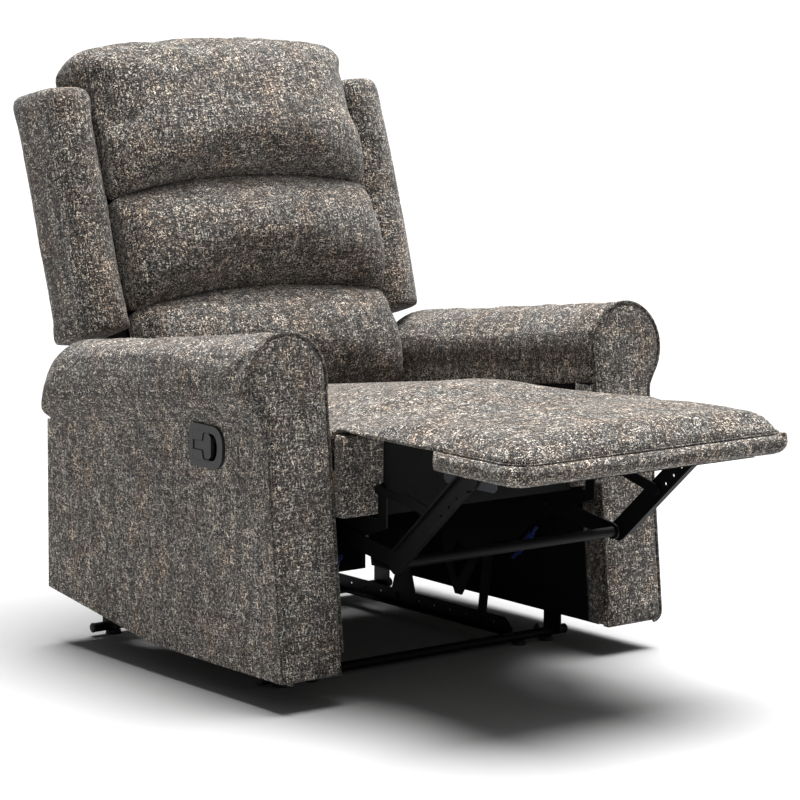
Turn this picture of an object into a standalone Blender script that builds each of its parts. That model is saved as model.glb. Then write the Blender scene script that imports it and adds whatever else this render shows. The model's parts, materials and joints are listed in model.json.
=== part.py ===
"""Recliner armchair with wings, three back cushions and a fold-out footrest.

Metres, +Z up. The chair faces -Y and +X is the sitter's left. It is modelled with the footrest
out. Lengths along Y are given from the bottom front edge of the arms, and one empty moves the
whole chair so that the origin is at the middle of its footprint, on the floor.
"""
import math

import bmesh
import bpy
from mathutils import Vector

# ---------------------------------------------------------------- driving dimensions
SEAT_WIDTH = 0.530            # between the arms
ARM_WIDTH = 0.109             # arm body, without the overhang of its roll
ARM_DEPTH = 0.623
ARM_HEIGHT = 0.5515           # top of the roll at the front
ARM_CLEARANCE = 0.046         # floor to the arm's bottom edge
BACK_LENGTH = 0.655           # hinge to the top of the head cushion, along the back
BACK_LEAN = math.radians(18.0)
FOOTREST_LENGTH = 0.250
TUBE_RADIUS = 0.0075

GAP = 0.0003                  # between pieces that touch
BOARD = 0.012                 # plywood
RUN = 0.0008                  # between plates that slide past each other

# arms
FRONT_RAKE = 0.110            # the arm's front leans back this much per metre of height
ARM_SLOPE = 0.120             # the arm's top falls this much per metre towards the rear
ROLL_RADIUS = 0.0695
ROLL_OFFSET = 0.067           # roll centre from the arm's inner face
ROLL_END = 0.060              # rounding at the roll's rear end
ROLL_TUCK = math.radians(14.5)  # how far below level the roll's curve starts on its inner side
ARM_TAPER_START = 0.330       # the bottom edge rises behind this
ARM_TAPER = 0.041
INNER_PANEL_LOW = 0.080

# base
FRONT_TUBE_Y = 0.149
REAR_TUBE_Y = ARM_DEPTH - 0.021
TUBE_END = 0.026              # cross tube past the arm's inner panel
FOOT_HEIGHT = 0.0057
FOOT_RADIUS = 0.012
RAIL_X = SEAT_WIDTH / 2 - 0.0807  # inner face of the base rail's upright flange
RAIL_HEIGHT = 0.024
RAIL_FLANGE = 0.018
RAIL_STOP_TOP = 0.105         # top of the lug that stops the rear leg
STEEL = 0.0025
POST_WIDTH = 0.040
POST_HEIGHT = 0.160

# mechanism layers, inner faces, from the middle of the chair outwards
PLATE = 0.0028
LEG_X = RAIL_X + 0.0037
SEAT_PLATE_X = LEG_X + 0.0152
DRIVE_X = SEAT_PLATE_X + PLATE + RUN
HOOK_X = DRIVE_X + PLATE + RUN
BRACKET_X = HOOK_X + PLATE + RUN
MAIN_X = BRACKET_X + PLATE + RUN
MAIN_FLANGE = 0.0080
RIVET_RADIUS = 0.0040
RIVET_PLAY = 0.0004
RIVET_HEAD = 0.0065
HEAD_THICK = 0.0020

# seat
RAIL_BOTTOM = 0.277
FRONT_RAIL_TOP = 0.400
FRONT_RAIL_Y = 0.004
FRONT_RAIL_THICK = 0.025
SIDE_RAIL_WIDTH = 0.057
SEAT_SLOPE = 0.135
CUSHION_FRONT = -0.120
CUSHION_TOP = 0.452           # highest line of the cushion, near the arm fronts
CUSHION_LOW = 0.4025          # underside in front of the front rail
CUSHION_DECK = 0.345          # underside just behind the front rail
SIDE_PLAY = 0.0025            # seat to arm

# footrest, out
PAD_REAR = -0.135
PAD_LOW = 0.392
PAD_TOP = 0.441
FOOT_BOARD = 0.0155
FOLD = (-0.0875, 0.4325)      # axis that the footrest turns about

# linkage pivots (Y, Z), footrest out
TOE_PIN = (-0.235, 0.368)
ELBOW = (-0.068, 0.217)
DRIVE_PIN = (0.085, 0.240)
HOOK_PIN = (-0.018, 0.318)
HOOK_TIP = (-0.1538, 0.2946)
FRONT_LEG_Y = 0.220           # lower pivots of the swing legs
REAR_LEG_Y = ARM_DEPTH - 0.188
LEG_RISE = 0.0117             # those pivots above the base rail's underside
LEG_LENGTH = 0.1152
LEG_LEAN = math.radians(7.48)
TORQUE_RADIUS = 0.0080

# back, along (u) and across (w) its own lean, from the hinge
HINGE = (ARM_DEPTH - 0.093, 0.320)
SEAT_REAR = HINGE[0] - 0.030  # rear end of the seat's frame
POST_DEPTH = 0.070
BACK_POST_WIDTH = 0.0395
WING_WIDTH = 0.080
WING_LOW = ARM_HEIGHT - 0.3715
WING_TOP = BACK_LENGTH - 0.068
WING_FRONT = -0.040
BACK_REAR = 0.088
CUSHION_WIDTH = SEAT_WIDTH - 0.040
CUSHION_FACE = -0.100
LUMBAR_LOW = 0.046
SEAM_LOW = 0.229
SEAM_HIGH = BACK_LENGTH - 0.239
WEB_THICK = 0.0022

# release handle
BEZEL_CENTRE = (0.183, ARM_HEIGHT - 0.1795)
BEZEL_SIZE = (0.084, 0.064)
BEZEL_RIM = 0.0055
CUP_SIZE = (0.070, 0.050)
CUP_DEPTH = 0.024
CUP_WALL = 0.002
LEVER_THICK = 0.007
LEVER_PIN_RADIUS = 0.0018
CABLE_RADIUS = 0.0025
CABLE_HOLE = (0.300, 0.150)   # where it passes through the arm's inner panel

# ---------------------------------------------------------------- values worked out from them
HALF_SEAT = SEAT_WIDTH / 2
ARM_OUTER = HALF_SEAT + ARM_WIDTH
ROLL_X = HALF_SEAT + ROLL_OFFSET
ROLL_Z = ARM_HEIGHT - ROLL_RADIUS
CREASE_DROP = math.sqrt(ROLL_RADIUS**2 - (ARM_OUTER - ROLL_X) ** 2)
TUBE_Z = FOOT_HEIGHT + GAP + TUBE_RADIUS
RAIL_Z = TUBE_Z + TUBE_RADIUS + GAP
FRONT_LEG_FOOT = (FRONT_LEG_Y, RAIL_Z + LEG_RISE)
REAR_LEG_FOOT = (REAR_LEG_Y, RAIL_Z + LEG_RISE)
PAD_FRONT = PAD_REAR - FOOTREST_LENGTH
SIDES = {"left": 1, "right": -1}


def on_back(w, u):
    """Chair (Y, Z) of a point given across and along the back."""
    return (HINGE[0] + w * math.cos(BACK_LEAN) + u * math.sin(BACK_LEAN),
            HINGE[1] - w * math.sin(BACK_LEAN) + u * math.cos(BACK_LEAN))


COVER_TOP = WING_TOP - GAP
MIDDLE_Y = (PAD_FRONT + on_back(BACK_REAR, COVER_TOP)[0]) / 2


# ---------------------------------------------------------------- scene, materials, helpers
for old in list(bpy.data.objects):
    bpy.data.objects.remove(old, do_unlink=True)


def material(name, colour, roughness, metallic=0.0):
    made = bpy.data.materials.new(name)
    made.use_nodes = True
    shader = made.node_tree.nodes["Principled BSDF"]
    shader.inputs["Base Color"].default_value = (*colour, 1.0)
    shader.inputs["Roughness"].default_value = roughness
    shader.inputs["Metallic"].default_value = metallic
    return made


TWEED = material("tweed", (0.20, 0.175, 0.155), 0.95)
LINING = material("lining", (0.018, 0.018, 0.020), 0.95)
BLACK_STEEL = material("black_steel", (0.016, 0.016, 0.018), 0.38, 0.7)
GREY_STEEL = material("grey_steel", (0.42, 0.42, 0.44), 0.42, 0.9)
SPRING_STEEL = material("spring_steel", (0.30, 0.30, 0.31), 0.40, 1.0)
TIMBER = material("timber", (0.52, 0.38, 0.23), 0.75)
PLASTIC = material("plastic", (0.022, 0.023, 0.025), 0.42)
BLUE_SLEEVE = material("blue_sleeve", (0.03, 0.08, 0.30), 0.45)
WEB = material("webbing", (0.10, 0.09, 0.08), 0.9)

chair = bpy.data.objects.new("chair_frame", None)
chair.location = (0, -MIDDLE_Y, 0)
bpy.context.scene.collection.objects.link(chair)


def axis_empty(name, pivot, tilt=0.0):
    empty = bpy.data.objects.new(name, None)
    empty.location = (0, pivot[0], pivot[1])
    empty.rotation_euler = (tilt, 0, 0)
    empty.parent = chair
    bpy.context.scene.collection.objects.link(empty)
    return empty


back_axis = axis_empty("back_axis", HINGE, -BACK_LEAN)


def finish(name, bm, look, pivot=(0, 0, 0), parent=None, smooth=False):
    """Turn a bmesh given in chair coordinates into an object whose origin is at pivot."""
    bmesh.ops.remove_doubles(bm, verts=bm.verts, dist=1e-6)
    bmesh.ops.recalc_face_normals(bm, faces=bm.faces)
    bmesh.ops.translate(bm, verts=bm.verts, vec=-Vector(pivot))
    mesh = bpy.data.meshes.new(name)
    bm.to_mesh(mesh)
    bm.free()
    mesh.materials.append(look)
    if smooth:
        mesh.shade_smooth()
        mesh.set_sharp_from_angle(angle=math.radians(35))
    piece = bpy.data.objects.new(name, mesh)
    piece.location = pivot
    piece.parent = parent or chair
    bpy.context.scene.collection.objects.link(piece)
    return piece


def box_bm(low, high):
    bm = bmesh.new()
    bmesh.ops.create_cube(bm, size=1.0)
    for vert in bm.verts:
        vert.co = Vector([low[i] + (vert.co[i] + 0.5) * (high[i] - low[i]) for i in range(3)])
    return bm


def span(side, inner, outer):
    """X from inner to outer on the given side, lowest first."""
    return sorted((side * inner, side * outer))


def box(name, low, high, look, **more):
    return finish(name, box_bm(low, high), look, **more)


def bevel(piece, width, segments=2):
    step = piece.modifiers.new("rounded", "BEVEL")
    step.width = width
    step.segments = segments
    step.limit_method = "ANGLE"
    step.angle_limit = math.radians(30)
    return piece


def boolean(piece, tool, operation):
    step = piece.modifiers.new(operation.lower(), "BOOLEAN")
    step.operation = operation
    step.object = tool
    step.solver = "EXACT"
    tool.hide_render = True
    tool.display_type = "WIRE"
    return piece


def ring(centre, radius, count=12):
    return [(centre[0] + radius * math.cos(2 * math.pi * k / count),
             centre[1] + radius * math.sin(2 * math.pi * k / count)) for k in range(count)]


def plate_bm(outline, x_low, x_high, holes=()):
    """Extrude a (Y, Z) outline with holes along X."""
    bm = bmesh.new()
    edges = []
    for loop in [outline, *holes]:
        verts = [bm.verts.new((x_low, y, z)) for y, z in loop]
        edges += [bm.edges.new((verts[k], verts[(k + 1) % len(verts)])) for k in range(len(verts))]
    bmesh.ops.triangle_fill(bm, edges=edges, use_beauty=True)
    raised = bmesh.ops.extrude_face_region(bm, geom=bm.faces[:])
    moved = [item for item in raised["geom"] if isinstance(item, bmesh.types.BMVert)]
    bmesh.ops.translate(bm, verts=moved, vec=(x_high - x_low, 0, 0))
    return bm


def plate(name, outline, x_range, look, holes=(), **more):
    return finish(name, plate_bm(outline, *x_range, holes), look, **more)


def capsule(start, end, radius, count=6):
    """Outline of a bar with round ends from start to end."""
    heading = math.atan2(end[1] - start[1], end[0] - start[0])
    outline = []
    for centre, turn in ((end, -math.pi / 2), (start, math.pi / 2)):
        for k in range(count + 1):
            angle = heading + turn + math.pi * k / count
            outline.append((centre[0] + radius * math.cos(angle), centre[1] + radius * math.sin(angle)))
    return outline


def rod_bm(centre, radius, x_low, x_high, count=12):
    return plate_bm(ring(centre, radius, count), x_low, x_high)


def fuse(piece, name, bm):
    """Weld one more body onto a piece with a Boolean union."""
    tool = finish(name, bm, piece.data.materials[0], pivot=tuple(piece.location), parent=piece.parent)
    return boolean(piece, tool, "UNION")


def cut(piece, name, bm):
    tool = finish(name, bm, piece.data.materials[0], pivot=tuple(piece.location), parent=piece.parent)
    return boolean(piece, tool, "DIFFERENCE")


def rivet(piece, name, side, at, start, end, head):
    """Shank from start to end, as distances from the middle, with a head beyond the end."""
    bite = 0.0006
    fuse(piece, name + "_shank", rod_bm(at, RIVET_RADIUS, *span(side, start, end)))
    if head:
        reach = math.copysign(HEAD_THICK, end - start)
        fuse(piece, name + "_head", rod_bm(at, RIVET_HEAD, *span(side, end - math.copysign(bite, reach),
                                                                 end + reach)))


# ---------------------------------------------------------------- base
def make_base_rail(where, side):
    front, rear = FRONT_TUBE_Y - 0.010, REAR_TUBE_Y + 0.010
    top = RAIL_Z + RAIL_HEIGHT
    stop = REAR_LEG_FOOT[0] - 0.020
    outline = [(front, RAIL_Z), (rear, RAIL_Z), (rear, top), (stop + 0.030, top),
               (stop + 0.012, RAIL_STOP_TOP), (stop - 0.012, RAIL_STOP_TOP), (stop - 0.030, top),
               (front + 0.020, top), (front, RAIL_Z + 0.008)]
    holes = [ring(foot, RIVET_RADIUS + RIVET_PLAY) for foot in (FRONT_LEG_FOOT, REAR_LEG_FOOT)]
    holes += [ring((y, RAIL_Z + RAIL_HEIGHT / 2), 0.0032, 8)
              for y in (0.185, 0.255, 0.295, 0.335, 0.375, 0.475, 0.515, 0.555)]
    rail = plate("base_rail_" + where, outline, span(side, RAIL_X, RAIL_X + STEEL), BLACK_STEEL, holes)
    x_low, x_high = span(side, RAIL_X - RAIL_FLANGE, RAIL_X + STEEL / 2)
    return fuse(rail, "rail_flange_" + where, box_bm((x_low, front, RAIL_Z), (x_high, rear, RAIL_Z + STEEL)))


def make_cross_tube(name, at_y, post_y):
    tube_end = HALF_SEAT + GAP + BOARD + TUBE_END
    tube = finish(name, plate_bm(ring((at_y, TUBE_Z), TUBE_RADIUS, 16), -tube_end, tube_end),
                  BLACK_STEEL, smooth=True)
    post_x = HALF_SEAT + GAP + BOARD + GAP
    for where, side in SIDES.items():
        x_low, x_high = span(side, post_x, post_x + STEEL)
        post = box_bm((x_low, post_y - POST_WIDTH / 2, TUBE_Z),
                      (x_high, post_y + POST_WIDTH / 2, POST_HEIGHT))
        fuse(tube, name + "_post_" + where, post)
    return tube


def make_foot(name, side, at_y):
    bm = bmesh.new()
    bmesh.ops.create_cone(bm, cap_ends=True, segments=16, radius1=FOOT_RADIUS * 1.1, radius2=FOOT_RADIUS,
                          depth=FOOT_HEIGHT)
    bmesh.ops.translate(bm, verts=bm.verts, vec=(side * HALF_SEAT, at_y, FOOT_HEIGHT / 2))
    return finish(name, bm, PLASTIC)


for where, side in SIDES.items():
    make_base_rail(where, side)
    make_foot("foot_front_" + where, side, FRONT_TUBE_Y)
    make_foot("foot_rear_" + where, side, REAR_TUBE_Y)
make_cross_tube("front_cross_tube", FRONT_TUBE_Y, FRONT_TUBE_Y)
make_cross_tube("rear_cross_tube", REAR_TUBE_Y, ARM_DEPTH - BOARD - 2 * GAP - POST_WIDTH / 2)


# ---------------------------------------------------------------- arms
def arm_front(z):
    return FRONT_RAKE * (z - ARM_CLEARANCE)


def sloped(z, y):
    """Height at y of a line that follows the arm's slope and is at z above the reference line."""
    return z - ARM_SLOPE * (y - arm_front(ROLL_Z))


def front_of(z):
    """Y at which that line meets the arm's raked front."""
    level = z + ARM_SLOPE * arm_front(ROLL_Z) - ARM_CLEARANCE
    return FRONT_RAKE * level / (1 + FRONT_RAKE * ARM_SLOPE)


def arm_crease(y):
    return sloped(ROLL_Z - CREASE_DROP, y)


def arm_bottom(y):
    share = max(0.0, (y - ARM_TAPER_START) / (ARM_DEPTH - ARM_TAPER_START))
    return ARM_CLEARANCE + ARM_TAPER * share


def arm_profile(margin):
    """Side outline of the arm body, moved in from its front and rear by margin."""
    rear = ARM_DEPTH - margin
    low = (arm_front(ARM_CLEARANCE) + margin, ARM_CLEARANCE)
    front = front_of(ROLL_Z - CREASE_DROP)
    top = arm_crease(front) - GAP
    return [low, (ARM_TAPER_START, ARM_CLEARANCE), (rear, arm_bottom(rear)),
            (rear, arm_crease(rear) - GAP), (front + margin, top)]


def make_arm_shell(where, side):
    """Outer side, front and rear in one: the covered box that the roll and inner panel close."""
    shell = plate("arm_shell_" + where, arm_profile(0.0), span(side, HALF_SEAT, ARM_OUTER), TWEED)
    inside = arm_profile(BOARD)
    low, high = INNER_PANEL_LOW - 0.1, ARM_HEIGHT
    hollow = [(inside[0][0] - FRONT_RAKE * (ARM_CLEARANCE - low), low), (inside[2][0], low),
              (inside[3][0], high), (inside[4][0] + FRONT_RAKE * (high - inside[4][1]), high)]
    cut(shell, "arm_hollow_" + where, plate_bm(hollow, *span(side, HALF_SEAT - 0.01, ARM_OUTER - BOARD)))
    return shell


def make_arm_panel(where, side):
    front_low = arm_front(INNER_PANEL_LOW) + BOARD + GAP
    rear = ARM_DEPTH - BOARD - GAP
    front = front_of(ROLL_Z - CREASE_DROP) + BOARD + GAP
    outline = [(front_low, INNER_PANEL_LOW), (rear, INNER_PANEL_LOW), (rear, arm_crease(rear) - GAP),
               (front, arm_crease(front) - GAP)]
    x_range = span(side, HALF_SEAT + GAP, HALF_SEAT + GAP + BOARD)
    holes = [ring(CABLE_HOLE, CABLE_RADIUS + 0.0025, 10)] if side < 0 else []
    return plate("arm_inner_panel_" + where, outline, x_range, LINING, holes)


def make_arm_roll(where, side):
    """The padded roll: a sheared prism with a rounded rear end."""
    start = math.pi + ROLL_TUCK
    stop = -math.acos((ARM_OUTER - ROLL_X) / ROLL_RADIUS)
    steps = 14
    arc = [start + (stop - start) * k / steps for k in range(steps + 1)]
    section = [(ROLL_OFFSET + ROLL_RADIUS * math.cos(a), ROLL_RADIUS * math.sin(a)) for a in arc]
    section.append((ARM_WIDTH - GAP, -CREASE_DROP + GAP))
    section.append((GAP, -CREASE_DROP + GAP))
    turn = [math.radians(a) for a in (0, 22, 44, 62)]
    stations = [(None, 0.0)] + [(ARM_DEPTH - ROLL_END + ROLL_END * math.sin(a),
                                 ROLL_END * (1 - math.cos(a))) for a in turn]
    bm = bmesh.new()
    rings = []
    for y, drop in stations:
        loop = []
        for across, up in section:
            height = up + CREASE_DROP
            lift = height * (1 - drop / (ROLL_RADIUS + CREASE_DROP))
            squeeze = 1 - 0.35 * drop / ROLL_RADIUS
            x = side * (HALF_SEAT + ARM_WIDTH / 2 + (across - ARM_WIDTH / 2) * squeeze)
            z = ROLL_Z - CREASE_DROP + lift
            at = front_of(z) if y is None else y
            loop.append(bm.verts.new((x, at, sloped(z, at))))
        rings.append(loop)
    count = len(section)
    for near, far in zip(rings, rings[1:]):
        for k in range(count):
            bm.faces.new((near[k], near[(k + 1) % count], far[(k + 1) % count], far[k]))
    bm.faces.new(rings[0])
    bm.faces.new(rings[-1])
    return finish("arm_roll_" + where, bm, TWEED, smooth=True)


for where, side in SIDES.items():
    shell = make_arm_shell(where, side)
    make_arm_panel(where, side)
    make_arm_roll(where, side)
    if side < 0:
        handle_arm = shell


# ---------------------------------------------------------------- release handle, on the right arm
def rounded(centre, size, radii, count=4):
    """Rounded rectangle (Y, Z). radii: front corners, rear corners."""
    half_y, half_z = size[0] / 2, size[1] / 2
    outline = []
    for turn, (sign_y, sign_z) in enumerate(((1, 1), (-1, 1), (-1, -1), (1, -1))):
        radius = radii[1] if sign_y > 0 else radii[0]
        corner = (centre[0] + sign_y * (half_y - radius), centre[1] + sign_z * (half_z - radius))
        for k in range(count + 1):
            angle = turn * math.pi / 2 + math.pi / 2 * k / count
            outline.append((corner[0] + radius * math.cos(angle), corner[1] + radius * math.sin(angle)))
    return outline


def make_handle():
    face = -ARM_OUTER - BEZEL_RIM
    seat = -ARM_OUTER - GAP
    bottom = -ARM_OUTER + CUP_DEPTH
    bezel = plate("handle_bezel", rounded(BEZEL_CENTRE, BEZEL_SIZE, (0.024, 0.012)), (face, seat), PLASTIC,
                  smooth=True)
    fuse(bezel, "bezel_cup", plate_bm(rounded(BEZEL_CENTRE, CUP_SIZE, (0.018, 0.008)), seat - 0.001, bottom))
    room = (CUP_SIZE[0] - 2 * CUP_WALL, CUP_SIZE[1] - 2 * CUP_WALL)
    cut(bezel, "bezel_room", plate_bm(rounded(BEZEL_CENTRE, room, (0.016, 0.006)), face - 0.001,
                                      bottom - CUP_WALL))
    slot = (CUP_SIZE[0] + 2 * GAP, CUP_SIZE[1] + 2 * GAP)
    cut(handle_arm, "handle_slot", plate_bm(rounded(BEZEL_CENTRE, slot, (0.018, 0.008)),
                                            -ARM_OUTER - 0.01, bottom + 0.01))
    axis_y = BEZEL_CENTRE[0] + room[0] / 2 - 0.006
    axis_x = face + LEVER_THICK / 2 + 0.0015
    pin_half = room[1] / 2 - 0.001
    pin = bmesh.new()
    bmesh.ops.create_cone(pin, cap_ends=True, segments=12, radius1=LEVER_PIN_RADIUS,
                          radius2=LEVER_PIN_RADIUS, depth=2 * pin_half)
    bmesh.ops.translate(pin, verts=pin.verts, vec=(axis_x, axis_y, BEZEL_CENTRE[1]))
    finish("lever_pin", pin, GREY_STEEL)
    make_lever(axis_x, axis_y)


def make_lever(axis_x, axis_y):
    """T-shaped lever: a paddle with a stem that turns on the upright pin."""
    stem_half, paddle_half = 0.0065, 0.0195
    rear, neck, front = axis_y + 0.0045, axis_y - 0.018, axis_y - 0.038
    middle = BEZEL_CENTRE[1]
    outline = [(rear, middle - stem_half), (rear, middle + stem_half), (neck, middle + stem_half),
               (neck - 0.002, middle + paddle_half - 0.003), (neck - 0.005, middle + paddle_half),
               (front + 0.006, middle + paddle_half), (front, middle + paddle_half - 0.006),
               (front, middle - paddle_half + 0.006), (front + 0.006, middle - paddle_half),
               (neck - 0.005, middle - paddle_half), (neck - 0.002, middle - paddle_half + 0.003),
               (neck, middle - stem_half)]
    pivot = (axis_x, axis_y, middle)
    lever = finish("release_lever", plate_bm(outline, axis_x - LEVER_THICK / 2, axis_x + LEVER_THICK / 2),
                   PLASTIC, pivot=pivot)
    bore = bmesh.new()
    bmesh.ops.create_cone(bore, cap_ends=True, segments=12, radius1=LEVER_PIN_RADIUS + GAP,
                          radius2=LEVER_PIN_RADIUS + GAP, depth=0.05)
    bmesh.ops.translate(bore, verts=bore.verts, vec=pivot)
    cut(lever, "lever_bore", bore)


def tube_curve(name, points, radius, look, resolution=2):
    data = bpy.data.curves.new(name, "CURVE")
    data.dimensions = "3D"
    data.bevel_depth = radius
    data.bevel_resolution = resolution
    data.use_fill_caps = True
    line = data.splines.new("POLY")
    line.points.add(len(points) - 1)
    for point, place in zip(line.points, points):
        point.co = (*place, 1.0)
    data.materials.append(look)
    piece = bpy.data.objects.new(name, data)
    piece.parent = chair
    bpy.context.scene.collection.objects.link(piece)
    return piece


def smooth_line(knots, steps):
    """Catmull-Rom points through the knots."""
    ends = [knots[0], *knots, knots[-1]]
    points = []
    for before, here, there, after in zip(ends, ends[1:], ends[2:], ends[3:]):
        for k in range(steps):
            t = k / steps
            points.append([0.5 * (2 * b + (c - a) * t + (2 * a - 5 * b + 4 * c - d) * t**2
                                  + (3 * b - a - 3 * c + d) * t**3)
                           for a, b, c, d in zip(before, here, there, after)])
    return points + [list(knots[-1])]


def make_cable():
    """Runs from behind the handle cup, through the arm's inner panel, to the base rail's stop."""
    start_x = -ARM_OUTER + CUP_DEPTH + 2 * GAP
    hole_x = -HALF_SEAT - GAP - BOARD / 2
    end_x, end_y = -RAIL_X - STEEL - 3 * GAP, REAR_LEG_FOOT[0] - 0.031
    knots = [(start_x, BEZEL_CENTRE[0] + 0.010, BEZEL_CENTRE[1]),
             (start_x + 0.006, BEZEL_CENTRE[0] + 0.010, BEZEL_CENTRE[1]),
             (start_x + 0.016, BEZEL_CENTRE[0] + 0.014, BEZEL_CENTRE[1] - 0.006),
             (start_x + 0.030, BEZEL_CENTRE[0] + 0.032, BEZEL_CENTRE[1] - 0.052),
             (start_x + 0.034, 0.260, 0.220),
             (hole_x - 0.022, CABLE_HOLE[0] - 0.006, CABLE_HOLE[1] + 0.008),
             (hole_x, CABLE_HOLE[0], CABLE_HOLE[1]),
             (hole_x + 0.025, CABLE_HOLE[0] + 0.010, CABLE_HOLE[1] - 0.010),
             (end_x - 0.037, 0.372, 0.100),
             (end_x - 0.014, end_y - 0.004, 0.090),
             (end_x - 0.004, end_y, 0.089),
             (end_x, end_y, 0.089)]
    return tube_curve("release_cable", smooth_line(knots, 3), CABLE_RADIUS, PLASTIC)


make_handle()
make_cable()


# ---------------------------------------------------------------- swing legs
def make_leg(name, side, foot):
    tip = (foot[0] - LEG_LENGTH * math.sin(LEG_LEAN), foot[1] + LEG_LENGTH * math.cos(LEG_LEAN))
    leg = plate(name, capsule(foot, tip, 0.0095), span(side, LEG_X, LEG_X + PLATE), BLACK_STEEL,
                pivot=(0, foot[0], foot[1]))
    rivet(leg, name + "_foot", side, foot, LEG_X + PLATE / 2, RAIL_X - 0.0008, True)
    rivet(leg, name + "_tip", side, tip, LEG_X + PLATE / 2, SEAT_PLATE_X - 0.0006, False)


for where, side in SIDES.items():
    make_leg("front_leg_" + where, side, FRONT_LEG_FOOT)
    make_leg("rear_leg_" + where, side, REAR_LEG_FOOT)


# ---------------------------------------------------------------- seat
def deck(y):
    """Height of the cushion's underside behind the front rail."""
    return CUSHION_DECK - SEAT_SLOPE * (y - FRONT_RAIL_Y - FRONT_RAIL_THICK)


RAIL_FRONT = FRONT_RAIL_Y + FRONT_RAIL_THICK + GAP
RAIL_REAR = SEAT_REAR - 0.001
RAIL_OUTER = HALF_SEAT - 0.0015
RAIL_INNER = RAIL_OUTER - SIDE_RAIL_WIDTH


def make_seat_plate(where, side):
    leg_shift = LEG_LENGTH * math.sin(LEG_LEAN)
    tip_z = FRONT_LEG_FOOT[1] + LEG_LENGTH * math.cos(LEG_LEAN)
    front_tip = (FRONT_LEG_FOOT[0] - leg_shift, tip_z)
    rear_tip = (REAR_LEG_FOOT[0] - leg_shift, tip_z)
    outline = [(HOOK_PIN[0] - 0.010, 0.262), (HOOK_PIN[0] - 0.010, HOOK_PIN[1] + 0.004),
               (HOOK_PIN[0], HOOK_PIN[1] + 0.011), (HOOK_PIN[0] + 0.010, HOOK_PIN[1] + 0.004),
               (HOOK_PIN[0] + 0.010, RAIL_BOTTOM - 0.004), (RAIL_FRONT + 0.003, RAIL_BOTTOM - 0.004),
               (RAIL_FRONT + 0.003, deck(RAIL_FRONT) - 0.006),
               (SEAT_REAR + 0.004, deck(SEAT_REAR) - 0.006), (HINGE[0] - 0.019, HINGE[1] - 0.008),
               (HINGE[0] - 0.017, HINGE[1] + 0.011), (HINGE[0], HINGE[1] + 0.021),
               (HINGE[0] + 0.018, HINGE[1] + 0.012),
               (HINGE[0] + 0.018, HINGE[1] - 0.012), (HINGE[0] - 0.020, 0.240),
               (rear_tip[0] + 0.030, rear_tip[1] - 0.005), (rear_tip[0] + 0.012, rear_tip[1] - 0.014),
               (rear_tip[0] - 0.014, rear_tip[1] - 0.012), (rear_tip[0] - 0.040, 0.215), (0.342, 0.200),
               (0.335, 0.115), (0.304, 0.057), (0.288, 0.057), (0.245, 0.125), (front_tip[0] + 0.016, 0.150),
               (front_tip[0] + 0.006, tip_z - 0.013), (front_tip[0] - 0.010, tip_z - 0.012),
               (DRIVE_PIN[0] + 0.030, 0.205), (DRIVE_PIN[0] - 0.005, DRIVE_PIN[1] - 0.018)]
    window = [(0.318, 0.118), (0.298, 0.080), (0.268, 0.122), (0.300, 0.150)]
    holes = [ring(DRIVE_PIN, RIVET_RADIUS + RIVET_PLAY), ring(HOOK_PIN, RIVET_RADIUS + RIVET_PLAY),
             ring(HINGE, RIVET_RADIUS + RIVET_PLAY), window]
    holes += [ring((y, 0.262), 0.0035, 8) for y in (0.150, 0.230, 0.310, 0.390)]
    return plate("seat_plate_" + where, outline, span(side, SEAT_PLATE_X, SEAT_PLATE_X + PLATE),
                 BLACK_STEEL, holes)


def make_seat_rails():
    for where, side in SIDES.items():
        outline = [(RAIL_FRONT, RAIL_BOTTOM), (RAIL_REAR, deck(RAIL_REAR) - 0.017),
                   (RAIL_REAR, deck(RAIL_REAR) - GAP), (RAIL_FRONT, deck(RAIL_FRONT) - GAP)]
        plate("seat_side_rail_" + where, outline, span(side, RAIL_INNER, RAIL_OUTER), TIMBER)
    bevel(box("seat_front_rail", (-RAIL_OUTER, FRONT_RAIL_Y, RAIL_BOTTOM),
              (RAIL_OUTER, FRONT_RAIL_Y + FRONT_RAIL_THICK, FRONT_RAIL_TOP), TWEED), 0.002, 1)
    inner = SEAT_PLATE_X - 0.006
    rear_low = deck(RAIL_REAR) - 0.045
    box("seat_rear_rail", (-inner, RAIL_REAR - 0.030, rear_low),
        (inner, RAIL_REAR, deck(RAIL_REAR) - GAP), TIMBER)


def make_seat_spring(name, at_x):
    """A zigzag spring from the front rail to the rear rail."""
    wire, half_width, bends = 0.0018, 0.024, 11
    start, end = RAIL_FRONT + 0.0005, RAIL_REAR - 0.0305
    points = [(at_x, start, deck(start) - 0.010)]
    length = end - start
    for k in range(bends * 4 + 1):
        phase = k * math.pi / 4
        y = start + 0.012 + (length - 0.024) * k / (bends * 4)
        points.append((at_x + half_width * math.sin(phase), y, deck(y) - 0.010))
    points.append((at_x, end, deck(end) - 0.010))
    return tube_curve(name, points, wire, SPRING_STEEL, 0)


def make_seat_cushion():
    crest = 0.040
    rear = SEAT_REAR - 0.002
    under_lumbar = LUMBAR_LOW - 0.003
    tuck = on_back(CUSHION_FACE - 0.001, under_lumbar)
    under = on_back(-0.040, under_lumbar)
    outline = [(CUSHION_FRONT, CUSHION_LOW), (RAIL_FRONT, CUSHION_LOW), (RAIL_FRONT, deck(RAIL_FRONT)),
               (rear, deck(rear)), (rear, under[1]), under, tuck,
               (tuck[0], CUSHION_TOP - SEAT_SLOPE * (tuck[0] - crest)), (crest, CUSHION_TOP),
               (-0.060, PAD_TOP + 0.003), (CUSHION_FRONT, PAD_TOP)]
    half = HALF_SEAT - SIDE_PLAY
    return plate("seat_cushion", outline, (-half, half), TWEED)


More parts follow.
